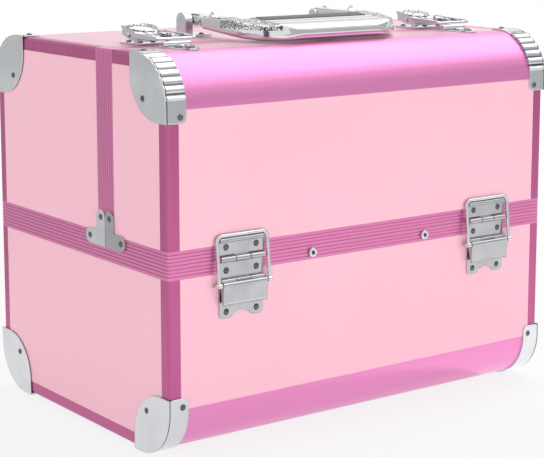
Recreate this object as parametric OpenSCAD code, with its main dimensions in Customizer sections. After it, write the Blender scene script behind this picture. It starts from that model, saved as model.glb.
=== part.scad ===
// Makeup storage case: a framed base box, a narrow front cover and a deep rear cover that swing
// apart on hinges, two lift-out trays on parallel arms, hinge latches, top latches and a handle.
// X runs across the case, Y from front to rear, Z up. The case stands on its corner protectors at
// Z = 0, and the origin is below the middle of the whole object.

/* [Case] */
// Width of the case over its side walls
case_w = 330; // [270:1:400]
// Depth of the case from its front wall to its rear wall
case_d = 229.5; // [190:0.5:290]
// Height of the base box
base_h = 129; // [105:1:155]
// Height of both covers
cover_h = 133.5; // [110:0.5:165]
// Depth of the front cover, from the front wall to the split
front_cover_d = 76; // [62:1:95]
// Outer radius of the four long rounded edges
edge_r = 33; // [26:0.5:40]
// Thickness of the laminated panels
panel_t = 4; // [3:0.5:5]
// Thickness of the soft lining
lining_t = 2; // [1:0.5:3]

/* [Frame rails] */
// Width of the edge rails on each face
rail_w = 9; // [7:0.5:12]
// Height of the rails that meet at the parting line
rim_rail_h = 9.4; // [7:0.2:12]
// Width of the rails that meet at the split
split_rail_w = 10.5; // [8:0.5:13]
// Flat part of the top band below its rounded edge
top_band_flat = 1; // [0.5:0.5:10]
// Flat part of the bottom band above its rounded edge
bottom_band_flat = 0.5; // [0.5:0.5:10]
// Outer rounding of the edge rails
rail_round = 2.5; // [1:0.5:3.5]
// Gap between a cover and the base
parting_gap = 0.3; // [0.2:0.1:0.6]
// Gap between the two covers
split_gap = 0.5; // [0.3:0.1:1]

/* [Corner protectors] */
// Thickness of the pressed steel
protector_t = 1.2; // [0.8:0.1:1.6]
// Length of a protector's flat legs past the rounded edge
protector_flat = 9.5; // [8:0.5:16]
// Width of the strap across the rounded edge
protector_w = 14; // [12:0.5:18]

/* [Front hinge latches] */
// Distance of each front hinge latch from the middle
front_fitting_x = 109; // [60:1:125]
// Width of the hinge latch plates
fitting_w = 35; // [28:1:40]
// Distance between the two rivets in a row
fitting_rivet_pitch = 24; // [18:1:28]
// How far the hinge axis stands off the walls
hinge_out = 2.5; // [2.5:0.1:3.5]
// Outer radius of the front hinge knuckles
front_knuckle_r = 2; // [1.8:0.1:2.2]

/* [Rear hinges] */
// Distance of each rear hinge from the middle
rear_hinge_x = 100; // [60:1:125]
// Length of a rear hinge
rear_hinge_len = 60; // [40:1:70]
// Height of a rear hinge leaf
rear_leaf_h = 20; // [16:1:26]

/* [Top latches] */
// Distance of each top latch from the middle
top_latch_x = 123; // [95:1:130]

/* [Handle] */
// Distance between the middles of the two handle brackets
handle_pitch = 131; // [110:1:150]
// Distance of the handle pivots from the front wall
handle_pivot_s = 131; // [122:1:145]
// Height of the handle pivots over the top panel
handle_pivot_h = 10.5; // [10:0.5:13]
// Reach of the handle from its pivots to its front edge
handle_reach = 99; // [88:1:104]

/* [Trays] */
// Height of a tray
tray_h = 45; // [30:1:60]
// Wall of a tray
tray_t = 2; // [1.5:0.5:3]
// Length of the front tray arms between pivots
front_arm_len = 45; // [40:1:46]
// Length of the rear tray arms between pivots
rear_arm_len = 80; // [60:1:82]
// Lean of the arms towards the middle of the closed case
arm_lean = 60; // [55:1:62]

/* [Hidden] */
$fn = 48;
wall_t = panel_t + lining_t;
top_band_h = edge_r + top_band_flat;
bottom_band_h = edge_r + bottom_band_flat;
protector_leg = edge_r + protector_flat;
half_w = case_w / 2;
yf = -case_d / 2;
yr = case_d / 2;
z0 = protector_t;
zp = z0 + base_h;
zt = zp + cover_h;
rear_cover_d = case_d - front_cover_d;
bite = 1; // overshoot of a cutting tool past the face it cuts

// hinge latch: heights are measured from the parting line, depths from the front wall outwards
fitting_t = 1;
hook_z = 12.5;
hook_r = 1.6;
bail_r = 1.2;
bail_gap = 0.3;
bail_bar_z = hook_z + hook_r + bail_gap + bail_r;
bail_bar_out = 2;
bail_half = fitting_w / 2 + 2.5;
bail_eye_w = 2.9;
lever_pin_z = -14.3;
lever_pin_out = 2.8;
bail_pin_z = -16.6;
bail_pin_out = 5;
small_pin_r = 0.9;
pin_clearance = 0.05;
lever_roll_r = 2;
lever_eye_r = 1.5;
lever_end_z = -29.2;
lever_end_out = 5.2;
foot_end_z = -39.7;
fitting_rivets_z = [-7.7, -35.3];
hook_rivet_z = 7.7;
knuckle_gap = 0.3;

// top latch: places are measured from the front wall, heights from the top panel
top_hook_s = front_cover_d - 23;
top_hook_h = 2.8;
top_hook_r = 1.6;
top_bar_s = top_hook_s + 1.1;
top_bar_h = 5.9;
top_lever_pin_s = front_cover_d + 7;
top_lever_pin_h = 4.2;
top_bail_pin_s = top_lever_pin_s + 5;
top_bail_pin_h = 6.6;
top_latch_t = 1.2;
top_bail_half = 14.5;
top_lever_end_s = top_bail_pin_s + 15.5;

// rivets
rivet_shank_r = 1.4;
rivet_head_r = 2.2;
rivet_head_h = 1.1;
rivet_hole_r = 1.45;

// trays
arm_w = 6;
arm_t = 2;
arm_eye_r = 3.5;
arm_pin_r = 1.5;
arm_spacing = 12;
arm_spacing_lean = 15;
pivot_plate_t = 1.4;
arm_side_gap = 0.6;
tray_floor_z = 10.5;
front_tray_clear = 5;
rear_tray_clear = 11;
base_pivot_s = 12.5;
base_pivot_z = -4;
arm_x = half_w - wall_t - pivot_plate_t - arm_side_gap - arm_t;
tray_half_w = arm_x - arm_side_gap;

front_proud = bail_pin_out + lever_roll_r;
rear_knuckle_r = 2.5;
rear_proud = hinge_out + rear_knuckle_r;
shift_y = (front_proud - rear_proud) / 2;

PANEL = "#eec0cc";
RAIL = "#c9699f";
STEEL = "#d9dadc";
LINING = "#3a3a3d";
TRAY = "#2c2c30";
GRIP = "#55585a";

// ---------------------------------------------------------------- general forms

// Moves the case so that the origin lies below the middle of the whole object.
module seat() {
    translate([0, shift_y, 0]) children();
}

// The same thing on the left and on the right.
module both_sides() {
    children();
    mirror([1, 0, 0]) children();
}

// The rear of the case is the front turned round.
module rear() {
    mirror([0, 1, 0]) children();
}

// A flat outline in Y and Z, drawn out along X.
module along_x(from, to) {
    translate([from, 0, 0]) rotate([90, 0, 90]) linear_extrude(to - from) children();
}

// A flat outline in X and Z, drawn out from the front wall by a distance.
module off_front(from, to) {
    translate([0, yf - from, zp]) rotate([90, 0, 0]) linear_extrude(to - from) children();
}

// The case seen from the side, drawn in by a distance.
module case_outline(inset = 0) {
    r = edge_r - inset;
    translate([yf + inset, z0 + edge_r]) square([case_d - 2 * inset, base_h + cover_h - 2 * edge_r]);
    translate([yf + edge_r, z0 + inset]) square([case_d - 2 * edge_r, base_h + cover_h - 2 * inset]);
    for (y = [yf + edge_r, yr - edge_r], z = [z0 + edge_r, zt - edge_r])
        translate([y, z]) circle(r, $fn = 96);
}

// The wall of the case between two depths, seen from the side.
module wall_ring(from, to) {
    difference() {
        case_outline(from);
        case_outline(to);
    }
}

// A window in Y and Z.
module window(y_from, y_to, z_from, z_to) {
    translate([y_from, z_from]) square([y_to - y_from, z_to - z_from]);
}

// A domed rivet whose head sits on the XY plane, with its shank through a plate below.
module rivet(plate) {
    ball_r = (rivet_head_r * rivet_head_r + rivet_head_h * rivet_head_h) / (2 * rivet_head_h);
    intersection() {
        translate([0, 0, rivet_head_h - ball_r]) sphere(ball_r, $fn = 32);
        cylinder(h = rivet_head_h, r = rivet_head_r, $fn = 32);
    }
    translate([0, 0, -plate]) cylinder(h = plate, r = rivet_shank_r, $fn = 24);
}

// ---------------------------------------------------------------- edge rails

// Section of an edge rail: two equal legs that meet at a rounded corner.
module rail_section() {
    difference() {
        union() {
            square([wall_t, rail_w]);
            square([rail_w, wall_t]);
        }
        difference() {
            translate([-bite, -bite]) square(rail_round + bite);
            translate([rail_round, rail_round]) circle(rail_round, $fn = 32);
        }
    }
}

// A left edge rail going round one long rounded edge of the case. start is the angle where it begins.
module rail_bend(y, z, start) {
    translate([-half_w, y, z]) rotate([90, 0, 90]) rotate([0, 0, start])
        rotate_extrude(angle = 90, $fn = 96) intersection() {
            translate([edge_r, 0]) mirror([1, 0, 0]) rail_section();
            square([edge_r, rail_w]);
        }
}

// A straight vertical left edge rail on the front wall.
module rail_upright(z_from, z_to) {
    translate([-half_w, yf, z_from]) linear_extrude(z_to - z_from) rail_section();
}

// A straight left edge rail along the top.
module rail_top(y_from, y_to) {
    translate([-half_w, y_from, zt]) rotate([-90, 0, 0]) linear_extrude(y_to - y_from) rail_section();
}

// A straight left edge rail along the bottom.
module rail_bottom(y_from, y_to) {
    translate([-half_w, y_to, z0]) rotate([90, 0, 0]) linear_extrude(y_to - y_from) rail_section();
}

// The edge rail of a cover, from the rim rail over the rounded edge to the split.
module cover_edge_rails(depth) {
    both_sides() {
        rail_upright(zp + rim_rail_h, zt - edge_r);
        rail_bend(yf + edge_r, zt - edge_r, 90);
        rail_top(yf + edge_r, yf + depth - split_rail_w);
    }
}

// The edge rails of the base, one piece a side.
module base_edge_rails() {
    color(RAIL) both_sides() {
        for (turn = [0, 1]) mirror([0, turn, 0]) {
            rail_upright(z0 + edge_r, zp - rim_rail_h);
            rail_bend(yf + edge_r, z0 + edge_r, 180);
        }
        rail_bottom(yf + edge_r, yr - edge_r);
    }
}

// ---------------------------------------------------------------- rim and split rails

// The case seen from above, drawn in by a distance, with its small upright corner rounding.
module plan_outline(inset = 0) {
    r = rail_round - inset;
    translate([-half_w + inset, yf + rail_round]) square([case_w - 2 * inset, case_d - 2 * rail_round]);
    translate([-half_w + rail_round, yf + inset]) square([case_w - 2 * rail_round, case_d - 2 * inset]);
    for (x = [-1, 1] * (half_w - rail_round), y = [yf + rail_round, yr - rail_round])
        translate([x, y]) circle(r, $fn = 32);
}

// A rail round the rim of the case with three fine grooves along its outer face.
module rim_ring(z_from, height) {
    groove = 0.5;
    translate([0, 0, z_from]) difference() {
        linear_extrude(height) plan_outline();
        translate([-half_w + wall_t, yf + wall_t, -bite])
            cube([case_w - 2 * wall_t, case_d - 2 * wall_t, height + 2 * bite]);
        for (n = [1:3]) translate([0, 0, n * height / 4 - groove / 2]) linear_extrude(groove) difference() {
            square([case_w + 2, case_d + 2], center = true);
            plan_outline(groove);
        }
    }
}

// The rail round the rim of the base.
module base_rim_rails() {
    color(RAIL) rim_ring(zp - rim_rail_h, rim_rail_h);
}

// The rail round a cover's rim and the bow along its split.
module cover_rails(depth) {
    z_rim = zp + parting_gap;
    rim_h = rim_rail_h - parting_gap;
    y_split = yf + depth - split_gap / 2;
    intersection() {
        rim_ring(z_rim, rim_h);
        translate([-case_w, yf - bite, zp]) cube([2 * case_w, depth - split_rail_w + bite, cover_h]);
    }
    difference() {
        along_x(-half_w, half_w) intersection() {
            case_outline();
            window(yf + depth - split_rail_w, y_split, z_rim, zt);
        }
        along_x(-half_w + wall_t, half_w - wall_t)
            window(yf, yr, zp - bite, zt - wall_t);
        for (n = [1:3]) for (side = [-1, 1])
            translate([side * half_w - 0.5, yf + depth - n * split_rail_w / 4 - 0.25, zp])
                cube([1, 0.5, cover_h - 2]);
    }
}

// ---------------------------------------------------------------- panels, bands and linings

// A laminated panel that lies in the wall between the two edge rails.
module loop_panel(y_from, y_to, z_from, z_to) {
    color(PANEL) along_x(-half_w + rail_w, half_w - rail_w) intersection() {
        wall_ring(0, panel_t);
        window(y_from, y_to, z_from, z_to);
    }
}

// Two side panels inside the edge rails.
module side_panels(y_from, y_to, z_from, z_to) {
    color(PANEL) both_sides() along_x(-half_w, -half_w + panel_t) intersection() {
        case_outline(rail_w);
        window(y_from, y_to, z_from, z_to);
    }
}

// The metal band round a long edge of the case, with a lip behind each panel.
module band(z_from, z_to, y_to) {
    color(RAIL) along_x(-half_w + rail_w, half_w - rail_w) intersection() {
        wall_ring(0, panel_t);
        window(yf, y_to, z_from, z_to);
    }
}

// The lining: a sheet along the walls and a sheet on each side wall.
module lining(y_from, y_to, z_from, z_to) {
    color(LINING) {
        along_x(-half_w + rail_w, half_w - rail_w) intersection() {
            wall_ring(panel_t, wall_t);
            window(y_from, y_to, z_from, z_to);
        }
        both_sides() along_x(-half_w + panel_t, -half_w + wall_t) intersection() {
            case_outline(rail_w);
            window(y_from, y_to, z_from, z_to);
        }
    }
}

module base_front_panel() {
    loop_panel(yf, yf + edge_r, z0 + bottom_band_h, zp - rim_rail_h);
}

module base_rear_panel() {
    rear() base_front_panel();
}

module base_floor_panel() {
    loop_panel(yf + bottom_band_h, yr - bottom_band_h, z0, z0 + edge_r);
}

module base_side_panels() {
    side_panels(yf, yr, z0, zp - rim_rail_h);
}

module base_bands() {
    band(z0, z0 + bottom_band_h, yf + bottom_band_h);
    rear() band(z0, z0 + bottom_band_h, yf + bottom_band_h);
}

module base_lining() {
    lining(yf, yr, z0, zp - rim_rail_h);
}

module cover_front_panel() {
    loop_panel(yf, yf + edge_r, zp + rim_rail_h, zt - top_band_h);
}

module cover_top_panel(depth) {
    loop_panel(yf + top_band_h, yf + depth - split_rail_w, zt - edge_r, zt);
}

module cover_side_panels(depth) {
    side_panels(yf, yf + depth - split_rail_w, zp + rim_rail_h, zt);
}

module cover_band() {
    band(zt - top_band_h, zt, yf + top_band_h);
}

module cover_lining(depth) {
    lining(yf, yf + depth - split_rail_w, zp + rim_rail_h, zt);
}

// ---------------------------------------------------------------- corner protectors

rivet_in = 5.5; // from the end of a flat leg to its rivet
flute_r = 3.6;
flute_proud = 0.9;
flute_count = 5;
flute_first = 21; // angle of the lowest flute above the start of the bend
flute_step = 10;

// How far a protector reaches up or down from the corner of the case.
function leg_height(up) = up > 0 ? protector_leg : protector_leg - 1;

// A place on the left side wall, from the front wall and from the top or the bottom of the case.
function in_corner(up, inward, level) = [yf + inward, up > 0 ? zt - level : z0 + level];

// The rivet on the side flange of a protector.
module at_side_rivet(up) {
    p = up > 0 ? in_corner(up, 26.4, 28.4) : in_corner(up, 26.2, 28.4);
    translate([-half_w - protector_t, p.x, p.y]) rotate([0, -90, 0]) children();
}

// A rivet on the front leg of a protector.
module at_front_rivet(up) {
    p = in_corner(up, 0, leg_height(up) - (up > 0 ? 4.2 : 6));
    translate([-half_w + protector_w - 4.4, yf - protector_t, p.y]) rotate([90, 0, 0]) children();
}

// A rivet on the flat leg of a protector.
module at_flat_rivet(up) {
    y = yf + protector_leg - rivet_in;
    if (up > 0) translate([-half_w + protector_w / 2, y, zt + protector_t]) children();
}

// A quarter of a ring or disc round the long rounded edge, seen from the side.
module bend_sector(up, r_to) {
    z_bend = up > 0 ? zt - edge_r : z0 + edge_r;
    intersection() {
        translate([yf + edge_r, z_bend]) circle(r_to, $fn = 96);
        window(yf + edge_r - r_to, yf + edge_r, min(z_bend, z_bend + up * r_to),
               max(z_bend, z_bend + up * r_to));
    }
}

// Round flutes and a thin ridge across the bend of a top protector.
module flutes() {
    translate([yf + edge_r, zt - edge_r]) {
        for (n = [0:flute_count - 1]) rotate(180 - flute_first - n * flute_step)
            translate([edge_r + protector_t + flute_proud - flute_r, 0]) circle(flute_r, $fn = 32);
        rotate(180 - flute_first + 9.5) translate([edge_r + protector_t - 0.3, 0]) circle(1.1, $fn = 24);
    }
}

// The strap over the rounded edge, seen from the side.
module strap_outline(up) {
    difference() {
        union() {
            bend_sector(up, edge_r + protector_t);
            if (up > 0) flutes();
        }
        case_outline();
    }
}

// A flat leg that ends square, with round corners.
module leg_outline(length) {
    round = 3.5;
    width = protector_w + protector_t;
    square([width, length - round]);
    translate([round, 0]) square([width - 2 * round, length]);
    for (x = [round, width - round]) translate([x, length - round]) circle(round, $fn = 32);
}

// The flange on the side wall: a quarter of a round plate, seen from the side.
module fan_outline(up) {
    centre = [10, up > 0 ? 11 : 10];
    r = leg_height(up) - centre.y;
    p = in_corner(up, centre.x, centre.y);
    edge = in_corner(up, -protector_t, -protector_t);
    translate(p) circle(r, $fn = 96);
    window(edge.x, p.x, min(edge.y, p.y - up * r), max(edge.y, p.y - up * r));
    window(edge.x, p.x + r, min(edge.y, p.y), max(edge.y, p.y));
}

// One protector at the left front corner.
module protector(up) {
    z_bend = up > 0 ? zt - edge_r : z0 + edge_r;
    x_out = -half_w - protector_t;
    difference() {
        union() {
            along_x(x_out, -half_w + protector_w) strap_outline(up);
            // front leg
            translate([x_out, yf, z_bend]) rotate([90, 0, 0]) linear_extrude(protector_t)
                scale([1, -up]) leg_outline(leg_height(up) - edge_r);
            // flat leg along the top or the bottom
            translate([x_out, yf + edge_r, up > 0 ? zt : z0 - protector_t])
                linear_extrude(protector_t) leg_outline(protector_leg - edge_r);
            along_x(x_out, -half_w) intersection() {
                case_outline(-protector_t);
                fan_outline(up);
            }
            // bead along the curved edge of a top protector
            if (up > 0) along_x(x_out - 0.5, x_out + 0.2) intersection() {
                wall_ring(-protector_t, 1.4);
                window(yf - protector_t, yf + edge_r, zt - protector_leg + 2, zt + protector_t);
            }
        }
        at_side_rivet(up) rivet_hole(protector_t);
        at_front_rivet(up) rivet_hole(protector_t);
        at_flat_rivet(up) rivet_hole(protector_t);
    }
}

// The hole that a rivet's shank goes through.
module rivet_hole(plate) {
    translate([0, 0, -plate]) cylinder(h = plate + bite, r = rivet_hole_r, $fn = 24);
}

module protector_rivets(up) {
    at_side_rivet(up) rivet(protector_t);
    at_front_rivet(up) rivet(protector_t);
    at_flat_rivet(up) rivet(protector_t);
}

module base_protectors() {
    color(STEEL) both_sides() for (turn = [0, 1]) mirror([0, turn, 0]) protector(-1);
}

module cover_protectors() {
    color(STEEL) both_sides() protector(1);
}

// ---------------------------------------------------------------- braces on the covers' lower corners

brace_leg = 25;
brace_w = 10.5;
brace_t = 1.2;

// Places the children on the left side wall, at the lower corner next to the split.
module at_brace(depth) {
    translate([-half_w, yf + depth - split_gap / 2, zp + parting_gap]) rotate([90, 0, -90]) children();
}

function brace_rivets() = [[brace_w / 2, brace_leg - brace_w / 2], [brace_leg - brace_w / 2, brace_w / 2]];

// An angle plate with two rivets on each side wall.
module cover_braces(depth) {
    color(STEEL) both_sides() at_brace(depth) difference() {
        linear_extrude(brace_t) {
            square([brace_leg - brace_w / 2, brace_w]);
            translate([brace_leg - brace_w / 2, brace_w / 2]) circle(brace_w / 2);
            square([brace_w, brace_leg - brace_w / 2]);
            translate([brace_w / 2, brace_leg - brace_w / 2]) circle(brace_w / 2);
        }
        for (p = brace_rivets()) translate([p.x, p.y, brace_t]) rivet_hole(brace_t);
    }
}

module cover_brace_rivets(depth) {
    both_sides() at_brace(depth) for (p = brace_rivets()) translate([p.x, p.y, brace_t]) rivet(brace_t);
}

// ---------------------------------------------------------------- front hinge latches

// Both front hinge latches, or one of them.
module at_front_fittings() {
    for (x = [-front_fitting_x, front_fitting_x]) translate([x, 0, 0]) children();
}

// Places the children at the centre of a rivet on a front hinge latch.
module at_fitting_rivets(heights) {
    for (x = [-1, 1] * fitting_rivet_pitch / 2, z = heights)
        translate([x, yf - fitting_t, zp + z]) rotate([90, 0, 0]) children();
}

// A rod along X at a distance off the front wall and a height from the parting line.
module fitting_rod(out, z, r, from, to) {
    translate([from, yf - out, zp + z]) rotate([0, 90, 0]) cylinder(h = to - from, r = r, $fn = 32);
}

third = fitting_w / 6;

// The base half: plate, two outer knuckles, the lever's middle knuckle and two feet.
module front_latch_base_plates() {
    color(STEEL) at_front_fittings() difference() {
        union() {
            off_front(0, fitting_t) difference() {
                union() {
                    translate([-fitting_w / 2, foot_end_z + 3]) square([fitting_w, -foot_end_z - 3]);
                    for (x = [-1, 1] * (fitting_w / 2 - 5.5)) translate([x, foot_end_z + 3]) {
                        translate([-5.5, 0]) square([11, 2]);
                        translate([-2.5, -3]) square([5, 4]);
                        for (c = [-2.5, 2.5]) translate([c, 0]) circle(3);
                    }
                }
                translate([0, foot_end_z - 2]) circle(6.5);
                translate([-third - knuckle_gap, -front_knuckle_r - 0.5])
                    square([2 * (third + knuckle_gap), 2 * front_knuckle_r + 1]);
            }
            for (side = [-1, 1]) translate([side * 2 * third, 0, 0])
                fitting_rod(hinge_out, 0, front_knuckle_r, -third + (side > 0 ? knuckle_gap : 0),
                            third - (side < 0 ? knuckle_gap : 0));
            fitting_rod(lever_pin_out, lever_pin_z, lever_eye_r, -third, third);
            translate([-third, yf - lever_pin_out, zp + lever_pin_z])
                cube([2 * third, lever_pin_out - fitting_t / 2, lever_eye_r]);
        }
        fitting_rod(hinge_out, 0, small_pin_r, -half_w, half_w);
        fitting_rod(lever_pin_out, lever_pin_z, small_pin_r, -half_w, half_w);
        at_fitting_rivets(fitting_rivets_z) rivet_hole(fitting_t);
    }
}

// The cover half: plate, middle knuckle and a rolled hook along its top.
module front_hinge_hook_plates() {
    color(STEEL) at_front_fittings() difference() {
        union() {
            off_front(0, fitting_t) {
                translate([-fitting_w / 2, front_knuckle_r + 0.5])
                    square([fitting_w, hook_z - front_knuckle_r - 0.5]);
                translate([-third + knuckle_gap, 0]) square([2 * (third - knuckle_gap), hook_z]);
            }
            fitting_rod(hinge_out, 0, front_knuckle_r, -third + knuckle_gap, third - knuckle_gap);
            fitting_rod(hook_r, hook_z, hook_r, -fitting_w / 2, fitting_w / 2);
        }
        fitting_rod(hinge_out, 0, small_pin_r + pin_clearance, -half_w, half_w);
        at_fitting_rivets([hook_rivet_z]) rivet_hole(fitting_t);
    }
}

// A lever: rolled edge on the bail's pin, eyes on its own pin, a flap with flanges and a lip.
module front_lever(x) {
    flap_out = bail_pin_out + lever_roll_r - fitting_t - 0.3;
    web_inset = 0.4;
    color(STEEL) translate([x, 0, 0]) difference() {
        union() {
            fitting_rod(bail_pin_out, bail_pin_z, lever_roll_r, -fitting_w / 2, fitting_w / 2);
            for (side = [-1, 1]) {
                from = side < 0 ? -fitting_w / 2 : third + knuckle_gap;
                to = side < 0 ? -third - knuckle_gap : fitting_w / 2;
                fitting_rod(lever_pin_out, lever_pin_z, lever_eye_r, from, to);
                translate([from, 0, 0]) along_x(web_inset, to - from - web_inset) polygon([
                    [yf - lever_pin_out + 0.2, zp + lever_pin_z + 1.3],
                    [yf - bail_pin_out - 0.3, zp + bail_pin_z + 1.7],
                    [yf - bail_pin_out + 0.3, zp + bail_pin_z - 1.7],
                    [yf - lever_pin_out + 0.1, zp + lever_pin_z - 1.3]]);
                translate([side * (fitting_w / 2 - web_inset - fitting_t / 2), 0, 0])
                    along_x(-fitting_t / 2, fitting_t / 2) polygon([
                        [yf - 1.6, zp + lever_pin_z - 1],
                        [yf - flap_out - fitting_t / 2, zp + bail_pin_z],
                        [yf - lever_end_out, zp + lever_end_z + 1],
                        [yf - 3.4, zp + lever_end_z + 2],
                        [yf - 1.6, zp + lever_pin_z - 5]]);
            }
            along_x(-fitting_w / 2, fitting_w / 2) polygon([
                [yf - flap_out - fitting_t, zp + bail_pin_z - 0.2],
                [yf - flap_out, zp + bail_pin_z - 0.2],
                [yf - lever_end_out + fitting_t / 2, zp + lever_end_z],
                [yf - lever_end_out - fitting_t / 2, zp + lever_end_z]]);
            fitting_rod(lever_end_out + 0.3, lever_end_z, 0.9, -fitting_w / 2, fitting_w / 2);
        }
        fitting_rod(lever_pin_out, lever_pin_z, small_pin_r + pin_clearance, -half_w, half_w);
        fitting_rod(bail_pin_out, bail_pin_z, small_pin_r + pin_clearance, -half_w, half_w);
        // room for the base plate's middle knuckle, all through the lever's swing
        fitting_rod(lever_pin_out, lever_pin_z, lever_eye_r + 0.25, -third - knuckle_gap,
                    third + knuckle_gap);
    }
}

// A bail: a wire bow with round corners and an eye on each side of the lever.
module front_bail(x) {
    dz = bail_bar_z - bail_pin_z;
    dy = bail_pin_out - bail_bar_out;
    leg = norm([dy, dz]);
    bend_r = 4;
    color(STEEL) translate([x, yf - bail_pin_out, zp + bail_pin_z]) difference() {
        union() {
            rotate([-atan2(dy, dz), 0, 0]) {
                translate([-bail_half + bend_r, 0, leg]) rotate([0, 90, 0])
                    cylinder(h = 2 * (bail_half - bend_r), r = bail_r, $fn = 24);
                for (side = [-1, 1]) {
                    translate([side * bail_half, 0, 0]) cylinder(h = leg - bend_r, r = bail_r, $fn = 24);
                    translate([side * (bail_half - bend_r), 0, leg - bend_r]) rotate([90, 0, 0])
                        rotate([0, 0, side > 0 ? 0 : 90]) rotate_extrude(angle = 90, $fn = 24)
                            translate([bend_r, 0]) circle(bail_r, $fn = 24);
                }
            }
            for (side = [-1, 1]) translate([side * bail_half - bail_eye_w / 2, 0, 0]) rotate([0, 90, 0])
                cylinder(h = bail_eye_w, r = 1.8, $fn = 32);
        }
        translate([-case_w, 0, 0]) rotate([0, 90, 0])
            cylinder(h = 2 * case_w, r = small_pin_r + pin_clearance, $fn = 32);
    }
}

// The pin that the bail swings on, with a flat head at each end.
module front_bail_pin(x) {
    color(STEEL) translate([x, 0, 0]) {
        reach = bail_half + bail_eye_w / 2 + 0.1;
        fitting_rod(bail_pin_out, bail_pin_z, small_pin_r, -reach, reach);
        for (side = [-1, 1]) translate([side * (reach + 0.4), 0, 0])
            fitting_rod(bail_pin_out, bail_pin_z, 1.5, -0.4, 0.4);
    }
}

// ---------------------------------------------------------------- rear hinges

knuckle_count = 5;

// Every other knuckle of a rear hinge, in the front's place. first is 0 or 1.
module rear_knuckles(first) {
    pitch = rear_hinge_len / knuckle_count;
    for (n = [first:2:knuckle_count - 1])
        fitting_rod(hinge_out, 0, rear_knuckle_r, -rear_hinge_len / 2 + n * pitch + knuckle_gap / 2,
                    -rear_hinge_len / 2 + (n + 1) * pitch - knuckle_gap / 2);
}

// Room for the other leaf's knuckles.
module rear_knuckle_room(first) {
    pitch = rear_hinge_len / knuckle_count;
    for (n = [first:2:knuckle_count - 1])
        translate([-rear_hinge_len / 2 + n * pitch, yf - 3 * fitting_t, zp - rear_knuckle_r - 0.5])
            cube([pitch, 3 * fitting_t, 2 * rear_knuckle_r + 1]);
}

module at_leaf_rivets(up) {
    for (x = [-1, 0, 1] * rear_hinge_len / 3)
        translate([x, yf - fitting_t, zp + up * rear_leaf_h * 0.65]) rotate([90, 0, 0]) children();
}

// One leaf of a rear hinge. up is 1 for the cover's leaf, and first says which knuckles it has.
module hinge_leaf(up, first, clearance) {
    difference() {
        union() {
            difference() {
                off_front(0, fitting_t) translate([-rear_hinge_len / 2, up > 0 ? 0 : -rear_leaf_h])
                    square([rear_hinge_len, rear_leaf_h]);
                rear_knuckle_room(1 - first);
            }
            rear_knuckles(first);
        }
        fitting_rod(hinge_out, 0, small_pin_r * 1.5 + clearance, -half_w, half_w);
        at_leaf_rivets(up) rivet_hole(fitting_t);
    }
}

module at_rear_hinges() {
    for (x = [-rear_hinge_x, rear_hinge_x]) translate([x, 0, 0]) children();
}

module rear_hinge_base_leaves() {
    color(STEEL) rear() at_rear_hinges() hinge_leaf(-1, 0, 0);
}

module rear_hinge_cover_leaves() {
    color(STEEL) rear() at_rear_hinges() hinge_leaf(1, 1, pin_clearance);
}

// All hinge and lever pins that stay with the base.
module hinge_pins() {
    color(STEEL) {
        at_front_fittings() {
            fitting_rod(hinge_out, 0, small_pin_r, -fitting_w / 2, fitting_w / 2);
            fitting_rod(lever_pin_out, lever_pin_z, small_pin_r, -fitting_w / 2, fitting_w / 2);
        }
        rear() at_rear_hinges()
            fitting_rod(hinge_out, 0, small_pin_r * 1.5, -rear_hinge_len / 2, rear_hinge_len / 2);
    }
}

// ---------------------------------------------------------------- top latches

// A rod along X at a distance from the front wall and a height over the top.
module top_rod(s, h, r, from, to) {
    translate([from, yf + s, zt + h]) rotate([0, 90, 0]) cylinder(h = to - from, r = r, $fn = 32);
}

// A flat outline in X and Y on the top of the case.
module on_top(from, to) {
    translate([0, yf, zt + from]) linear_extrude(to - from) children();
}

keeper_front_s = top_hook_s - 24;
keeper_rear_s = top_hook_s + 6;
keeper_half = 10.5;
keeper_point = 17;
// radius of the two arcs that meet at the keeper's point
point_r = (keeper_point * keeper_point + keeper_half * keeper_half) / (2 * keeper_half);

function keeper_rivets() = [[0, keeper_front_s + 6], [-5.5, keeper_front_s + 14], [5.5, keeper_front_s + 14]];

// A keeper: a plate with a pointed front end and a rolled hook.
module top_latch_keepers() {
    color(STEEL) both_sides() translate([top_latch_x, 0, 0]) difference() {
        union() {
            on_top(0, top_latch_t) {
                translate([-keeper_half, keeper_front_s + keeper_point])
                    square([2 * keeper_half, keeper_rear_s - keeper_front_s - keeper_point]);
                intersection() {
                    for (side = [-1, 1]) intersection() {
                        translate([-side * (point_r - keeper_half), keeper_front_s + keeper_point])
                            circle(point_r, $fn = 96);
                        translate([side > 0 ? 0 : -keeper_half, keeper_front_s])
                            square([keeper_half, keeper_point]);
                    }
                }
            }
            top_rod(top_hook_s, top_hook_h, top_hook_r, -keeper_half, keeper_half);
            translate([-keeper_half, yf + top_hook_s, zt + top_latch_t / 2])
                cube([2 * keeper_half, top_hook_r, top_hook_h - top_latch_t / 2]);
        }
        for (p = keeper_rivets()) translate([p.x, yf + p.y, zt + top_latch_t]) rivet_hole(top_latch_t);
    }
}

plate_front_s = front_cover_d + 1.5;
plate_rear_s = top_lever_end_s + 3;
plate_half = 13;

function plate_rivets() = [[-7, plate_rear_s - 5], [7, plate_rear_s - 5], [-5, plate_front_s + 12.5],
                           [5, plate_front_s + 12.5]];

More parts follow.
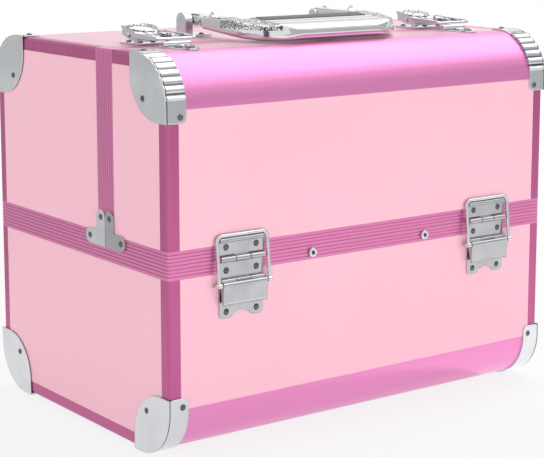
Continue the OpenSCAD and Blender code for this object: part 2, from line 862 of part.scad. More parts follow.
// The plate that carries the top latch's lever, with a lug on each side of the lever.
module top_latch_plates() {
    color(STEEL) both_sides() translate([top_latch_x, 0, 0]) difference() {
        union() {
            on_top(0, top_latch_t) {
                translate([-plate_half, plate_front_s]) square([2 * plate_half, plate_rear_s - plate_front_s - 4]);
                for (c = [-1, 1] * (plate_half - 4)) translate([c, plate_rear_s - 4]) circle(4);
                translate([-plate_half + 4, plate_rear_s - 5]) square([2 * plate_half - 8, 5]);
            }
            for (side = [-1, 1]) translate([side * (plate_half - 0.75), 0, 0]) {
                top_rod(top_lever_pin_s, top_lever_pin_h, 2.4, -0.75, 0.75);
                translate([-0.75, yf + top_lever_pin_s - 2.4, zt + top_latch_t / 2])
                    cube([1.5, 4.8, top_lever_pin_h - top_latch_t / 2]);
            }
            top_rod(top_lever_pin_s, top_lever_pin_h, small_pin_r, -plate_half, plate_half);
        }
        for (p = plate_rivets()) translate([p.x, yf + p.y, zt + top_latch_t]) rivet_hole(top_latch_t);
    }
}

// A top lever: eyes on its pin, a roll for the bail's pin and a thumb flap that rises to the rear.
module top_lever(x) {
    lever_half = plate_half - 1.9;
    color(STEEL) translate([x, 0, 0]) difference() {
        union() {
            top_rod(top_lever_pin_s, top_lever_pin_h, 2, -lever_half, lever_half);
            top_rod(top_bail_pin_s, top_bail_pin_h, 2, -lever_half, lever_half);
            for (side = [-1, 1]) translate([side * (lever_half - 0.6), 0, 0]) along_x(-0.6, 0.6) polygon([
                [yf + top_lever_pin_s, zt + top_lever_pin_h + 1.9],
                [yf + top_bail_pin_s, zt + top_bail_pin_h + 1.9],
                [yf + top_lever_end_s, zt + 12.2],
                [yf + top_lever_end_s, zt + 6],
                [yf + top_bail_pin_s + 4, zt + 2.6],
                [yf + top_lever_pin_s, zt + 2.6]]);
            along_x(-lever_half, lever_half) polygon([
                [yf + top_bail_pin_s, zt + top_bail_pin_h + 2],
                [yf + top_lever_end_s, zt + 12.4],
                [yf + top_lever_end_s, zt + 11.2],
                [yf + top_bail_pin_s, zt + top_bail_pin_h + 0.8]]);
            top_rod(top_lever_end_s, 11.3, 1.2, -lever_half, lever_half);
        }
        top_rod(top_lever_pin_s, top_lever_pin_h, small_pin_r + pin_clearance, -plate_half, plate_half);
        top_rod(top_bail_pin_s, top_bail_pin_h, small_pin_r + pin_clearance, -plate_half, plate_half);
    }
}

// A top bail: two flat side bars with eyes, and a bar over the keeper's hook.
module top_bail(x) {
    side_half = 0.9;
    color(STEEL) translate([x, 0, 0]) difference() {
        union() {
            top_rod(top_bar_s, top_bar_h, 1, -top_bail_half, top_bail_half);
            for (side = [-1, 1]) translate([side * top_bail_half, 0, 0]) {
                top_rod(top_bail_pin_s, top_bail_pin_h, 2.1, -side_half, side_half);
                along_x(-side_half, side_half) {
                    polygon([
                        [yf + top_bar_s, zt + top_bar_h - 1],
                        [yf + top_bar_s, zt + top_bar_h + 1.6],
                        [yf + top_bail_pin_s, zt + top_bail_pin_h + 2.1],
                        [yf + top_bail_pin_s, zt + top_bail_pin_h - 2.1]]);
                    translate([yf + top_bar_s, zt + top_bar_h + 0.3]) circle(1.3, $fn = 24);
                }
            }
        }
        top_rod(top_bail_pin_s, top_bail_pin_h, small_pin_r + pin_clearance, -half_w, half_w);
    }
}

// The pin that a top bail swings on.
module top_bail_pin(x) {
    color(STEEL) translate([x, 0, 0]) {
        top_rod(top_bail_pin_s, top_bail_pin_h, small_pin_r, -top_bail_half - 1.2, top_bail_half + 1.2);
        for (side = [-1, 1]) translate([side * (top_bail_half + 1.6), 0, 0])
            top_rod(top_bail_pin_s, top_bail_pin_h, 1.5, -0.4, 0.4);
    }
}

// ---------------------------------------------------------------- handle

handle_pin_r = 2;
bracket_t = 6;
bracket_in = handle_pitch / 2 - bracket_t / 2;
arm_bar_w = 9.9;
handle_half = bracket_in - 0.6;
handle_wide = handle_half + 5;
bow_r = 36;
opening_r = 8;
grip_deep = 43;
grip_half = 45.5;
grip_nose_r = 5.8;
grip_clear = 1.2;
grip_rear_h = 15.8;
grip_front_h = 14.4;

// Two upright brackets with round tops, each on a foot plate below the handle's arm.
module handle_brackets() {
    color(STEEL) both_sides() translate([bracket_in, 0, 0]) difference() {
        union() {
            along_x(0, bracket_t) {
                translate([yf + handle_pivot_s, zt + handle_pivot_h]) circle(6.2);
                translate([yf + handle_pivot_s - 6.2, zt]) square([12.4, handle_pivot_h]);
            }
            on_top(0, 1.5) translate([-10.5, handle_pivot_s - 14]) square([10.5 + bracket_t / 2, 28]);
        }
        top_rod(handle_pivot_s, handle_pivot_h, handle_pin_r + pin_clearance, -case_w, case_w);
        for (s = [-9, 9]) translate([-5.5, yf + handle_pivot_s + s, zt + 1.5]) rivet_hole(1.5);
    }
}

module handle_bracket_rivets() {
    both_sides() translate([bracket_in, 0, 0]) for (s = [-9, 9])
        translate([-5.5, yf + handle_pivot_s + s, zt + 1.5]) rivet(1.5);
}

// The pins that the handle turns on, each with a flat head inside the arm.
module handle_pins() {
    inner = handle_half - arm_bar_w - 0.1;
    color(STEEL) both_sides() {
        top_rod(handle_pivot_s, handle_pivot_h, handle_pin_r, inner - 0.5, bracket_in + bracket_t - 0.2);
        top_rod(handle_pivot_s, handle_pivot_h, 4.5, inner - 1.5, inner);
    }
}

// The handle seen from the side: thick at the grip and thin at its pivots.
module handle_side() {
    y_pivot = yf + handle_pivot_s;
    y_front = y_pivot - handle_reach;
    h = handle_pivot_h;
    translate([y_pivot, zt + h]) circle(5.5);
    translate([y_front + grip_nose_r, zt + grip_clear + grip_nose_r]) circle(grip_nose_r);
    polygon([
        [y_pivot, zt + h + 5.5],
        [y_pivot - 33, zt + h + 5],
        [y_front + grip_deep - 3, zt + grip_rear_h],
        [y_front + grip_deep - 14.5, zt + grip_front_h],
        [y_front + grip_nose_r, zt + grip_clear + 2 * grip_nose_r],
        [y_front + grip_nose_r, zt + grip_clear],
        [y_front + 14, zt + grip_clear],
        [y_pivot - 9, zt + h - 3],
        [y_pivot, zt + h - 5.5]]);
}

// The handle seen from above: a bow with wide round corners, open to the rear.
module handle_plan() {
    y_pivot = yf + handle_pivot_s;
    y_front = y_pivot - handle_reach;
    difference() {
        union() {
            polygon([
                [-handle_wide, y_front + bow_r], [handle_wide, y_front + bow_r],
                [handle_wide, y_pivot - 24], [handle_half, y_pivot - 14], [handle_half, y_pivot + 7],
                [-handle_half, y_pivot + 7], [-handle_half, y_pivot - 14], [-handle_wide, y_pivot - 24]]);
            for (side = [-1, 1]) translate([side * (handle_wide - bow_r), y_front + bow_r])
                circle(bow_r, $fn = 96);
            translate([-handle_wide + bow_r, y_front]) square([2 * (handle_wide - bow_r), 2 * bow_r]);
        }
        half = handle_half - arm_bar_w;
        translate([-half, y_front + grip_deep + opening_r]) square([2 * half, handle_reach]);
        translate([-half + opening_r, y_front + grip_deep]) square([2 * (half - opening_r), handle_reach]);
        for (side = [-1, 1])
            translate([side * (half - opening_r), y_front + grip_deep + opening_r]) circle(opening_r);
    }
}

// The strip in the top of the grip, seen from the side. rise is how far it stands above the grip.
module inlay_outline(rise) {
    y_front = yf + handle_pivot_s - handle_reach;
    y_a = y_front + grip_deep - 13.7;
    y_b = y_front + grip_deep - 3.8;
    z_a = zt + grip_front_h + 0.1;
    z_b = zt + grip_rear_h - 0.1;
    polygon([[y_a, z_a - 0.8], [y_b, z_b - 0.8], [y_b, z_b + rise], [y_a, z_a + rise]]);
}

// The handle: two arms and a wide grip, lying forward.
module handle() {
    color(STEEL) {
        difference() {
            intersection() {
                along_x(-handle_wide - bite, handle_wide + bite) handle_side();
                translate([0, 0, zt]) linear_extrude(40) handle_plan();
            }
            top_rod(handle_pivot_s, handle_pivot_h, handle_pin_r + pin_clearance, -case_w, case_w);
            along_x(-grip_half, grip_half) inlay_outline(3);
        }
        // a knob on top of each arm
        both_sides() translate([handle_half + 0.8, yf + handle_pivot_s - 33, zt + handle_pivot_h + 4]) {
            cylinder(h = 2.4, r1 = 2, r2 = 3, $fn = 32);
            translate([0, 0, 2.4]) cylinder(h = 1.2, r = 3, $fn = 32);
            translate([0, 0, 3.6]) cylinder(h = 2.2, r1 = 3, r2 = 1.4, $fn = 32);
        }
    }
}

module handle_grip_inlay() {
    color(GRIP) along_x(-grip_half, grip_half) inlay_outline(0.2);
}

// ---------------------------------------------------------------- trays and their arms

// Places in Y and Z from the front wall and the parting line: base pivots and their trays' pivots.
function base_pivot(trail) = [
    yf + base_pivot_s + trail * arm_spacing * cos(arm_spacing_lean),
    zp + base_pivot_z - trail * arm_spacing * sin(arm_spacing_lean)
];
function tray_pivot(trail, length) =
    base_pivot(trail) + length * [sin(arm_lean), cos(arm_lean)];

// A rod along X on the left side.
module left_rod(at, r, from, to) {
    translate([-to, at.x, at.y]) rotate([0, 90, 0]) cylinder(h = to - from, r = r, $fn = 32);
}

// An arm on each side: a flat link with a round eye at each end.
module tray_arms(trail, length) {
    a = base_pivot(trail);
    b = tray_pivot(trail, length);
    color(STEEL) both_sides() difference() {
        along_x(-arm_x - arm_t, -arm_x) {
            for (p = [a, b]) translate(p) circle(arm_eye_r);
            translate(a) rotate(90 - arm_lean) translate([0, -arm_w / 2]) square([length, arm_w]);
        }
        for (p = [a, b]) left_rod(p, arm_pin_r + pin_clearance, 0, case_w);
    }
}

// Plates on the base's side walls with the studs that the arms turn on.
module pivot_plate() {
    x_in = half_w - wall_t - pivot_plate_t;
    both_sides() {
        along_x(-half_w + wall_t, -half_w + wall_t + pivot_plate_t) {
            for (trail = [0, 1]) translate(base_pivot(trail)) circle(5);
            translate([yf + base_pivot_s - 5, zp - 32]) square([arm_spacing + 10, 26]);
        }
        for (trail = [0, 1]) {
            left_rod(base_pivot(trail), arm_pin_r, arm_x - 0.3, x_in);
            left_rod(base_pivot(trail), arm_pin_r + 1, arm_x - 1.1, arm_x - 0.2);
            left_rod(base_pivot(trail), arm_pin_r + 1, arm_x + arm_t + 0.2, x_in);
        }
    }
}

module tray_pivot_plates() {
    color(STEEL) {
        pivot_plate();
        rear() pivot_plate();
    }
}

// An open tray with partitions and the studs on its ends.
module tray(depth, clear, length, cells) {
    y_a = yf + wall_t + clear;
    y_b = yf + depth - 7;
    z_a = zp + tray_floor_z;
    size = [2 * tray_half_w, y_b - y_a, tray_h];
    color(TRAY) {
        translate([-tray_half_w, y_a, z_a]) difference() {
            cube(size);
            for (n = [0:cells - 1]) {
                pitch = (size.x - tray_t) / cells;
                translate([tray_t + n * pitch, tray_t, tray_t])
                    cube([pitch - tray_t, size.y - 2 * tray_t, size.z]);
            }
        }
        both_sides() for (trail = [0, 1]) {
            left_rod(tray_pivot(trail, length), arm_pin_r, tray_half_w - 0.1, arm_x + arm_t + 0.3);
            left_rod(tray_pivot(trail, length), arm_pin_r + 1, arm_x + arm_t + 0.2, arm_x + arm_t + 1);
        }
    }
}

// ---------------------------------------------------------------- groups of rivets

module base_rivets() {
    color(STEEL) {
        both_sides() for (turn = [0, 1]) mirror([0, turn, 0]) protector_rivets(-1);
        at_front_fittings() at_fitting_rivets(fitting_rivets_z) rivet(fitting_t);
        rear() at_rear_hinges() at_leaf_rivets(-1) rivet(fitting_t);
        for (x = [-50, 50]) translate([x, yf, zp - rim_rail_h / 2]) rotate([90, 0, 0]) {
            cylinder(h = 0.6, r = 3, $fn = 32);
            translate([0, 0, 0.6]) rivet(0.6);
        }
    }
}

module front_cover_rivets() {
    color(STEEL) {
        both_sides() protector_rivets(1);
        cover_brace_rivets(front_cover_d);
        at_front_fittings() at_fitting_rivets([hook_rivet_z]) rivet(fitting_t);
        both_sides() for (p = keeper_rivets())
            translate([top_latch_x + p.x, yf + p.y, zt + top_latch_t]) rivet(top_latch_t);
    }
}

module rear_cover_rivets() {
    color(STEEL) {
        rear() both_sides() protector_rivets(1);
        rear() cover_brace_rivets(rear_cover_d);
        rear() at_rear_hinges() at_leaf_rivets(1) rivet(fitting_t);
        both_sides() for (p = plate_rivets())
            translate([top_latch_x + p.x, yf + p.y, zt + top_latch_t]) rivet(top_latch_t);
        handle_bracket_rivets();
    }
}

// ---------------------------------------------------------------- nodes

seat() base_front_panel();
seat() base_rear_panel();
seat() base_side_panels();
seat() base_floor_panel();
seat() base_bands();
seat() base_edge_rails();
seat() base_rim_rails();
seat() base_protectors();
seat() base_rivets();
seat() base_lining();
seat() front_latch_base_plates();
seat() rear_hinge_base_leaves();
seat() hinge_pins();
seat() tray_pivot_plates();
seat() cover_front_panel();  // front_cover_front_panel
seat() cover_top_panel(front_cover_d);  // front_cover_top_panel
seat() cover_side_panels(front_cover_d);  // front_cover_side_panels
seat() cover_band();  // front_cover_band
seat() color(RAIL) cover_edge_rails(front_cover_d);  // front_cover_edge_rails
seat() color(RAIL) cover_rails(front_cover_d);  // front_cover_rim_and_split_rails
seat() cover_protectors();  // front_cover_protectors
seat() cover_braces(front_cover_d);  // front_cover_braces
seat() front_cover_rivets();
seat() cover_lining(front_cover_d);  // front_cover_lining
seat() front_hinge_hook_plates();
seat() top_latch_keepers();
seat() rear() cover_front_panel();  // rear_cover_rear_panel
seat() rear() cover_top_panel(rear_cover_d);  // rear_cover_top_panel
seat() rear() cover_side_panels(rear_cover_d);  // rear_cover_side_panels
seat() rear() cover_band();  // rear_cover_band
seat() rear() color(RAIL) cover_edge_rails(rear_cover_d);  // rear_cover_edge_rails
seat() rear() color(RAIL) cover_rails(rear_cover_d);  // rear_cover_rim_and_split_rails
seat() rear() cover_protectors();  // rear_cover_protectors
seat() rear() cover_braces(rear_cover_d);  // rear_cover_braces
seat() rear_cover_rivets();
seat() rear() cover_lining(rear_cover_d);  // rear_cover_lining
seat() rear_hinge_cover_leaves();
seat() top_latch_plates();
seat() handle_brackets();
seat() front_lever(-front_fitting_x);  // front_left_lever
seat() front_bail(-front_fitting_x);  // front_left_bail
seat() front_bail_pin(-front_fitting_x);  // front_left_bail_pin
seat() front_lever(front_fitting_x);  // front_right_lever
seat() front_bail(front_fitting_x);  // front_right_bail
seat() front_bail_pin(front_fitting_x);  // front_right_bail_pin
seat() top_lever(-top_latch_x);  // top_left_lever
seat() top_bail(-top_latch_x);  // top_left_bail
seat() top_bail_pin(-top_latch_x);  // top_left_bail_pin
seat() top_lever(top_latch_x);  // top_right_lever
seat() top_bail(top_latch_x);  // top_right_bail
seat() top_bail_pin(top_latch_x);  // top_right_bail_pin
seat() handle();
seat() handle_grip_inlay();
seat() handle_pins();
seat() tray(front_cover_d, front_tray_clear, front_arm_len, 5);  // front_tray
seat() rear() tray(rear_cover_d, rear_tray_clear, rear_arm_len, 3);  // rear_tray
seat() tray_arms(0, front_arm_len);  // front_lead_arms
seat() tray_arms(1, front_arm_len);  // front_trail_arms
seat() rear() tray_arms(0, rear_arm_len);  // rear_lead_arms
seat() rear() tray_arms(1, rear_arm_len);  // rear_trail_arms
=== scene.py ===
"""Looks of a framed makeup storage case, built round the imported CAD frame.

The CAD nodes keep their places and get procedural finishes. The handle's bow is cast anew with soft
edges and scrollwork, and small ornamental plates and eyelets are added. The studio is a pale floor, a
level world, four soft lamps and cards for the metal to reflect, with the camera at the photograph's
angle.
"""

import logging
import math
from collections.abc import Iterator, Sequence
from contextlib import contextmanager
from dataclasses import dataclass
from enum import Enum

import bpy
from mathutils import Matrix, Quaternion, Vector


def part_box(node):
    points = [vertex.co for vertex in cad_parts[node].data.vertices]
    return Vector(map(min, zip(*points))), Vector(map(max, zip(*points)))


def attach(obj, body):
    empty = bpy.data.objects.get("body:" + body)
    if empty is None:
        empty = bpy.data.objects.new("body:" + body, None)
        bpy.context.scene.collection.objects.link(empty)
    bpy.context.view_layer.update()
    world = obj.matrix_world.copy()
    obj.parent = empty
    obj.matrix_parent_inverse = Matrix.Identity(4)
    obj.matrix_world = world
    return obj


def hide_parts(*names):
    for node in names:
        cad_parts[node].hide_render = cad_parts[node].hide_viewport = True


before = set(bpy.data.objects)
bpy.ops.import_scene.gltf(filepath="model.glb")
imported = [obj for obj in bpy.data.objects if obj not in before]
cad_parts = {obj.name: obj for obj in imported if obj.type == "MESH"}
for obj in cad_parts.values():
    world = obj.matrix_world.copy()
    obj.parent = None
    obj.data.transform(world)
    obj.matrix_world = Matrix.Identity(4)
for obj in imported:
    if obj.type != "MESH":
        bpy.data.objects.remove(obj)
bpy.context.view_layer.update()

log = logging.getLogger("case")
IMAGE_WIDTH = 544
DISPLAY_WHITE = 255
NOISE_MIDDLE = 0.5
FRONT_WALL = -0.11375
Colour = tuple[float, float, float]
Place = tuple[float, float, float]
WHITE: Colour = (1.0, 1.0, 1.0)


def linear(red: int, green: int, blue: int) -> Colour:
    """Turns display values from 0 to 255 into linear light, by the usual display curve.

    Args:
        red: The red display value.
        green: The green display value.
        blue: The blue display value.

    Returns:
        The same colour in linear light.
    """
    def one(value: int) -> float:
        """Turns one display value into linear light."""
        v = value / DISPLAY_WHITE
        return v / 12.92 if v <= 0.04045 else ((v + 0.055) / 1.055) ** 2.4

    return one(red), one(green), one(blue)


def clamp(value: float) -> float:
    """Keeps a number between 0 and 1."""
    return min(1.0, max(0.0, value))


# Painted shade: the dark grey laid into the bright metal's folds, flutes and recesses in place of the
# shade there.
PAINTED_SHADE = linear(112, 112, 115)


class Signal:
    """One output socket, with the arithmetic that adds Math nodes."""

    def __init__(self, nodes: "Nodes", socket: bpy.types.NodeSocket) -> None:
        """Wraps a socket of a node tree."""
        self.nodes = nodes
        self.socket = socket

    def __add__(self, other: "Signal | float") -> "Signal":
        """Adds."""
        return self.nodes.maths("ADD", self, other)

    def __radd__(self, other: float) -> "Signal":
        """Adds to a number."""
        return self.nodes.maths("ADD", other, self)

    def __sub__(self, other: "Signal | float") -> "Signal":
        """Subtracts."""
        return self.nodes.maths("SUBTRACT", self, other)

    def __rsub__(self, other: float) -> "Signal":
        """Subtracts from a number."""
        return self.nodes.maths("SUBTRACT", other, self)

    def __mul__(self, other: "Signal | float") -> "Signal":
        """Multiplies."""
        return self.nodes.maths("MULTIPLY", self, other)

    def __rmul__(self, other: float) -> "Signal":
        """Multiplies a number."""
        return self.nodes.maths("MULTIPLY", other, self)

    def __gt__(self, other: "Signal | float") -> "Signal":
        """Gives 1 where this is greater."""
        return self.nodes.maths("GREATER_THAN", self, other)

    def __lt__(self, other: "Signal | float") -> "Signal":
        """Gives 1 where this is less."""
        return self.nodes.maths("LESS_THAN", self, other)

    def __abs__(self) -> "Signal":
        """Drops the sign."""
        return self.nodes.maths("ABSOLUTE", self)

    def clamped(self) -> "Signal":
        """Keeps the value between 0 and 1."""
        return self.nodes.maths("MINIMUM", self.nodes.maths("MAXIMUM", self, 0.0), 1.0)


class Nodes:
    """A node tree, built up from an empty one."""

    def __init__(self, tree: bpy.types.NodeTree) -> None:
        """Empties the tree."""
        self.tree = tree
        self.tree.nodes.clear()

    def node(self, kind: str, settings: dict | None = None, **inputs: object) -> bpy.types.Node:
        """Adds any node.

        Args:
            kind: The node's type.
            settings: Its own settings, which are set first.
            inputs: Values or signals for its sockets, under a socket's name with _ for a blank, or
                under i and its number.

        Returns:
            The new node.
        """
        made = self.tree.nodes.new(kind)
        for key, value in (settings or {}).items():
            setattr(made, key, value)
        for key, value in inputs.items():
            numbered = key[0] == "i" and key[1:].isdigit()
            self.feed(made.inputs[int(key[1:]) if numbered else key.replace("_", " ")], value)
        return made

    def feed(self, socket: bpy.types.NodeSocket, value: object) -> None:
        """Feeds a socket.

        Args:
            socket: The socket.
            value: A signal to link, or a value to set.
        """
        if isinstance(value, Signal):
            self.tree.links.new(value.socket, socket)
        elif isinstance(value, tuple) and len(value) == 3 and socket.type == "RGBA":
            socket.default_value = (*value, 1.0)
        else:
            socket.default_value = value

    def signal(self, node: bpy.types.Node, output: str | int = 0) -> Signal:
        """Wraps one of a node's outputs."""
        return Signal(self, node.outputs[output])

    def maths(self, operation: str, *values: Signal | float) -> Signal:
        """Adds a Math node.

        Args:
            operation: What it does.
            values: What it does it to.

        Returns:
            The result.
        """
        made = self.node("ShaderNodeMath", {"operation": operation})
        for socket, value in zip(made.inputs, values):
            self.feed(socket, value)
        return self.signal(made)

    def coordinates(self) -> Signal:
        """Gives Object coordinates in metres."""
        return self.signal(self.node("ShaderNodeTexCoord"), "Object")

    def seen(self) -> Signal:
        """Finds the rays that see a background.

        Returns:
            1 for rays from the camera, from gloss and through glass, and 0 for the others.
        """
        path = self.node("ShaderNodeLightPath")
        seen = self.signal(path, "Is Camera Ray")
        for ray in ("Is Glossy Ray", "Is Transmission Ray"):
            seen = self.maths("MAXIMUM", seen, self.signal(path, ray))
        return seen

    def blend(self, share: Signal, first: bpy.types.Node, second: bpy.types.Node) -> Signal:
        """Mixes two shader nodes."""
        return self.signal(self.node(
            "ShaderNodeMixShader", i0=share, i1=self.signal(first), i2=self.signal(second)))

    def show(self, surface: Signal, output: str = "ShaderNodeOutputMaterial") -> None:
        """Feeds the tree's output."""
        self.node(output, Surface=surface)


class Paint(Nodes):
    """A new material's node tree."""

    def __init__(self, name: str) -> None:
        """Makes an empty material.

        Args:
            name: Its name.
        """
        self.material = bpy.data.materials.new(name)
        self.material.use_nodes = True
        super().__init__(self.material.node_tree)


@dataclass(frozen=True)
class Relief:
    """How a fine pattern stands out of a surface.

    Attributes:
        depth: The pattern's height in metres.
        strength: The share of it that shows.
        edge: The radius in metres to which edges look rounded, or 0 to leave them sharp.
    """

    depth: float
    strength: float
    edge: float = 0.0


class Shader(Paint):
    """A material's node tree with its Principled shader."""

    BEVEL_SAMPLES = 4

    def __init__(self, name: str) -> None:
        """Makes a plain material.

        Args:
            name: Its name.
        """
        super().__init__(name)
        self.surface = self.node("ShaderNodeBsdfPrincipled")
        self.show(self.signal(self.surface))

    def place(self, scale: Sequence[float] = (1.0, 1.0, 1.0),
              turn: Sequence[float] = (0.0, 0.0, 0.0)) -> Signal:
        """Gives Object coordinates, scaled and turned for a pattern."""
        return self.signal(self.node(
            "ShaderNodeMapping", Vector=self.coordinates(), Scale=tuple(scale), Rotation=tuple(turn)))

    def noise(self, where: Signal, scale: float, detail: float = 2.0, roughness: float = 0.5) -> Signal:
        """Gives a noise pattern's value at that place."""
        return self.signal(self.node(
            "ShaderNodeTexNoise", Vector=where, Scale=scale, Detail=detail, Roughness=roughness), "Fac")

    def axes(self, where: Signal) -> tuple[Signal, Signal, Signal]:
        """Splits a place into its three coordinates."""
        made = self.node("ShaderNodeSeparateXYZ", Vector=where)
        return self.signal(made, 0), self.signal(made, 1), self.signal(made, 2)

    def cells(self, where: Signal, scale: float) -> Signal:
        """Gives a cell pattern, for cast scrollwork.

        Args:
            where: The place.
            scale: The number of cells in a metre.

        Returns:
            The distance to the edge of the nearest cell.
        """
        settings = {"feature": "DISTANCE_TO_EDGE"}
        made = self.node("ShaderNodeTexVoronoi", settings, Vector=where, Scale=scale)
        return self.signal(made, "Distance")

    def mix(self, share: Signal | float, first: object, second: object) -> Signal:
        """Mixes two colours."""
        made = self.node("ShaderNodeMix", {"data_type": "RGBA"}, i0=share, i6=first, i7=second)
        return self.signal(made, 2)

    def bump(self, height: Signal, relief: Relief) -> Signal:
        """Turns a pattern into a normal.

        Args:
            height: The pattern, from 0 to 1.
            relief: How it stands out.

        Returns:
            The bumped normal.
        """
        inputs = {"Height": height, "Distance": relief.depth, "Strength": relief.strength}
        if relief.edge:
            bevel = self.node("ShaderNodeBevel", {"samples": self.BEVEL_SAMPLES}, Radius=relief.edge)
            inputs["Normal"] = self.signal(bevel, "Normal")
        return self.signal(self.node("ShaderNodeBump", **inputs), "Normal")

    def finish(self, **inputs: object) -> bpy.types.Material:
        """Sets the Principled shader's sockets.

        Args:
            inputs: Values or signals, under a socket's name with _ for a blank.

        Returns:
            The material.
        """
        for key, value in inputs.items():
            self.feed(self.surface.inputs[key.replace("_", " ")], value)
        return self.material


@dataclass(frozen=True)
class Laminate:
    """Pale pink laminate of the panels: satin, with a faint pebble and cloudiness."""

    colour: Colour = linear(240, 186, 201)
    shade: Colour = linear(236, 179, 195)
    cloud_scale: float = 9.0
    roughness: float = 0.34
    roughness_change: float = 0.08
    pebble_scale: float = 1500.0
    pebble: Relief = Relief(depth=0.00003, strength=0.25, edge=0.0004)
    coat: float = 0.15
    coat_roughness: float = 0.22

    def make(self) -> bpy.types.Material:
        """Builds the material.

        Returns:
            The material.
        """
        s = Shader("laminate")
        where = s.place()
        cloud = s.noise(where, self.cloud_scale, detail=3.0)
        return s.finish(
            Base_Color=s.mix(cloud, self.colour, self.shade),
            Roughness=self.roughness + self.roughness_change * (cloud - NOISE_MIDDLE),
            Normal=s.bump(s.noise(where, self.pebble_scale), self.pebble),
            Coat_Weight=self.coat, Coat_Roughness=self.coat_roughness)


class Run(Enum):
    """The way an extrusion runs, with the stretch of its brushing."""

    ALONG_X = (0.02, 1.0, 1.0)
    ALONG_Z = (1.0, 1.0, 0.02)


class Tone(Enum):
    """The anodised colours, dark and bright: the broad bands are bluer than the narrow rails, and the
    rails a little and the corner posts much darker, as painted shade.
    """

    BAND = (linear(226, 134, 189), linear(240, 158, 209))
    # Painted shade: the rails a little darker than the bands, the corner posts much darker.
    RAIL = (linear(214, 121, 170), linear(232, 150, 194))
    SHADED_POST = (linear(180, 86, 134), linear(204, 114, 162))


@dataclass(frozen=True)
class AnodisedAluminium:
    """Metallic pink anodised aluminium, finely brushed along its run."""

    run: Run
    tone: Tone
    fine_scale: float = 2600.0
    broad_scale: float = 420.0
    streak_share: float = 0.35
    metallic: float = 0.85
    roughness: float = 0.34
    roughness_change: float = 0.14
    brushing: Relief = Relief(depth=0.00002, strength=0.3, edge=0.0005)

    def make(self) -> bpy.types.Material:
        """Builds the material.

        Returns:
            The material.
        """
        s = Shader(f"anodised_{self.tone.name.lower()}_{self.run.name.lower()}")
        fine = s.noise(s.place(self.run.value), self.fine_scale, detail=3.0)
        broad = s.noise(s.place(self.run.value), self.broad_scale)
        streaks = (self.streak_share * fine + self.streak_share * broad).clamped()
        return s.finish(
            Base_Color=s.mix(streaks, *self.tone.value), Metallic=self.metallic,
            Roughness=self.roughness + self.roughness_change * (fine - NOISE_MIDDLE),
            Normal=s.bump(fine, self.brushing))


@dataclass(frozen=True)
class BrightPlate:
    """Bright nickel plate on pressed steel, with faint polishing marks."""

    name: str
    colour: Colour = linear(226, 228, 230)
    shade: Colour = linear(206, 209, 213)
    cloud_scale: float = 60.0
    roughness: float = 0.12
    roughness_change: float = 0.12
    mark_scale: float = 2400.0
    mark_stretch: tuple[float, float, float] = (1.0, 1.0, 0.08)
    mark_turn: tuple[float, float, float] = (0.3, 0.2, 0.5)
    mark_depth: float = 0.000012
    mark_strength: float = 0.22
    edge: float = 0.00035

    def make(self) -> bpy.types.Material:
        """Builds the material.

        Returns:
            The material.
        """
        s = Shader(self.name)
        cloud = s.noise(s.place(), self.cloud_scale, detail=3.0)
        marks = s.noise(s.place(self.mark_stretch, self.mark_turn), self.mark_scale)
        return s.finish(
            Base_Color=self.paint_shade(s, s.mix(cloud, self.colour, self.shade)), Metallic=1.0,
            Roughness=self.roughness + self.roughness_change * cloud,
            Normal=s.bump(marks, Relief(self.mark_depth, self.mark_strength, self.edge)))

    def paint_shade(self, s: Shader, colour: Signal) -> Signal:
        """Paints no shade: leaves the plate's colour as it is."""
        return colour


@dataclass(frozen=True)
class CornerPressing(BrightPlate):
    """Bright plate of the corner protectors, with painted shade along the side folds and in the flutes.

    Attributes:
        fold: How far from the case's middle the side folds lie.
        fold_half: Half a fold line's width.
        dark: The painted shade along the folds and in the flutes.
        middle: The middle of the case from front to rear.
        bend_height: The height of the flutes' axis.
        bend_reach: How far from the middle that axis lies, to the front and to the rear.
        flute_first: The first flute's angle round the axis.
        flute_step: The angle from flute to flute.
        flute_ends: Where the row of flutes starts and ends, counted in flutes.
        groove_level: The part of a flute's wave below which it gets painted shade.
    """

    name: str = "corner_pressing"
    roughness: float = 0.08
    edge: float = 0.0013
    fold: float = 0.1653
    fold_half: float = 0.0004
    dark: Colour = PAINTED_SHADE
    middle: float = 0.001
    bend_height: float = 0.2307
    bend_reach: float = 0.08175
    flute_first: float = math.radians(21.0)
    flute_step: float = math.radians(10.0)
    flute_ends: tuple[float, float] = (-1.2, 4.7)
    groove_level: float = -0.72

    def paint_shade(self, s: Shader, colour: Signal) -> Signal:
        """Paints shade into the folds and the flutes.

        Args:
            s: The material's shader.
            colour: The plate's colour.

        Returns:
            The colour with lines of painted shade.
        """
        x, y, z = s.axes(s.place())
        # Painted shade: a dark line along each side fold and dark grooves between the flutes.
        crease = abs(abs(x) - self.fold) < self.fold_half
        around = s.maths("ARCTAN2", z - self.bend_height, abs(y - self.middle) - self.bend_reach)
        flute = (around - self.flute_first) * (1.0 / self.flute_step)
        first, last = self.flute_ends
        groove = s.maths("COSINE", flute * (2.0 * math.pi)) < self.groove_level
        groove = groove * (flute > first) * (flute < last) * (abs(x) < self.fold)
        return s.mix((crease + groove).clamped(), colour, self.dark)


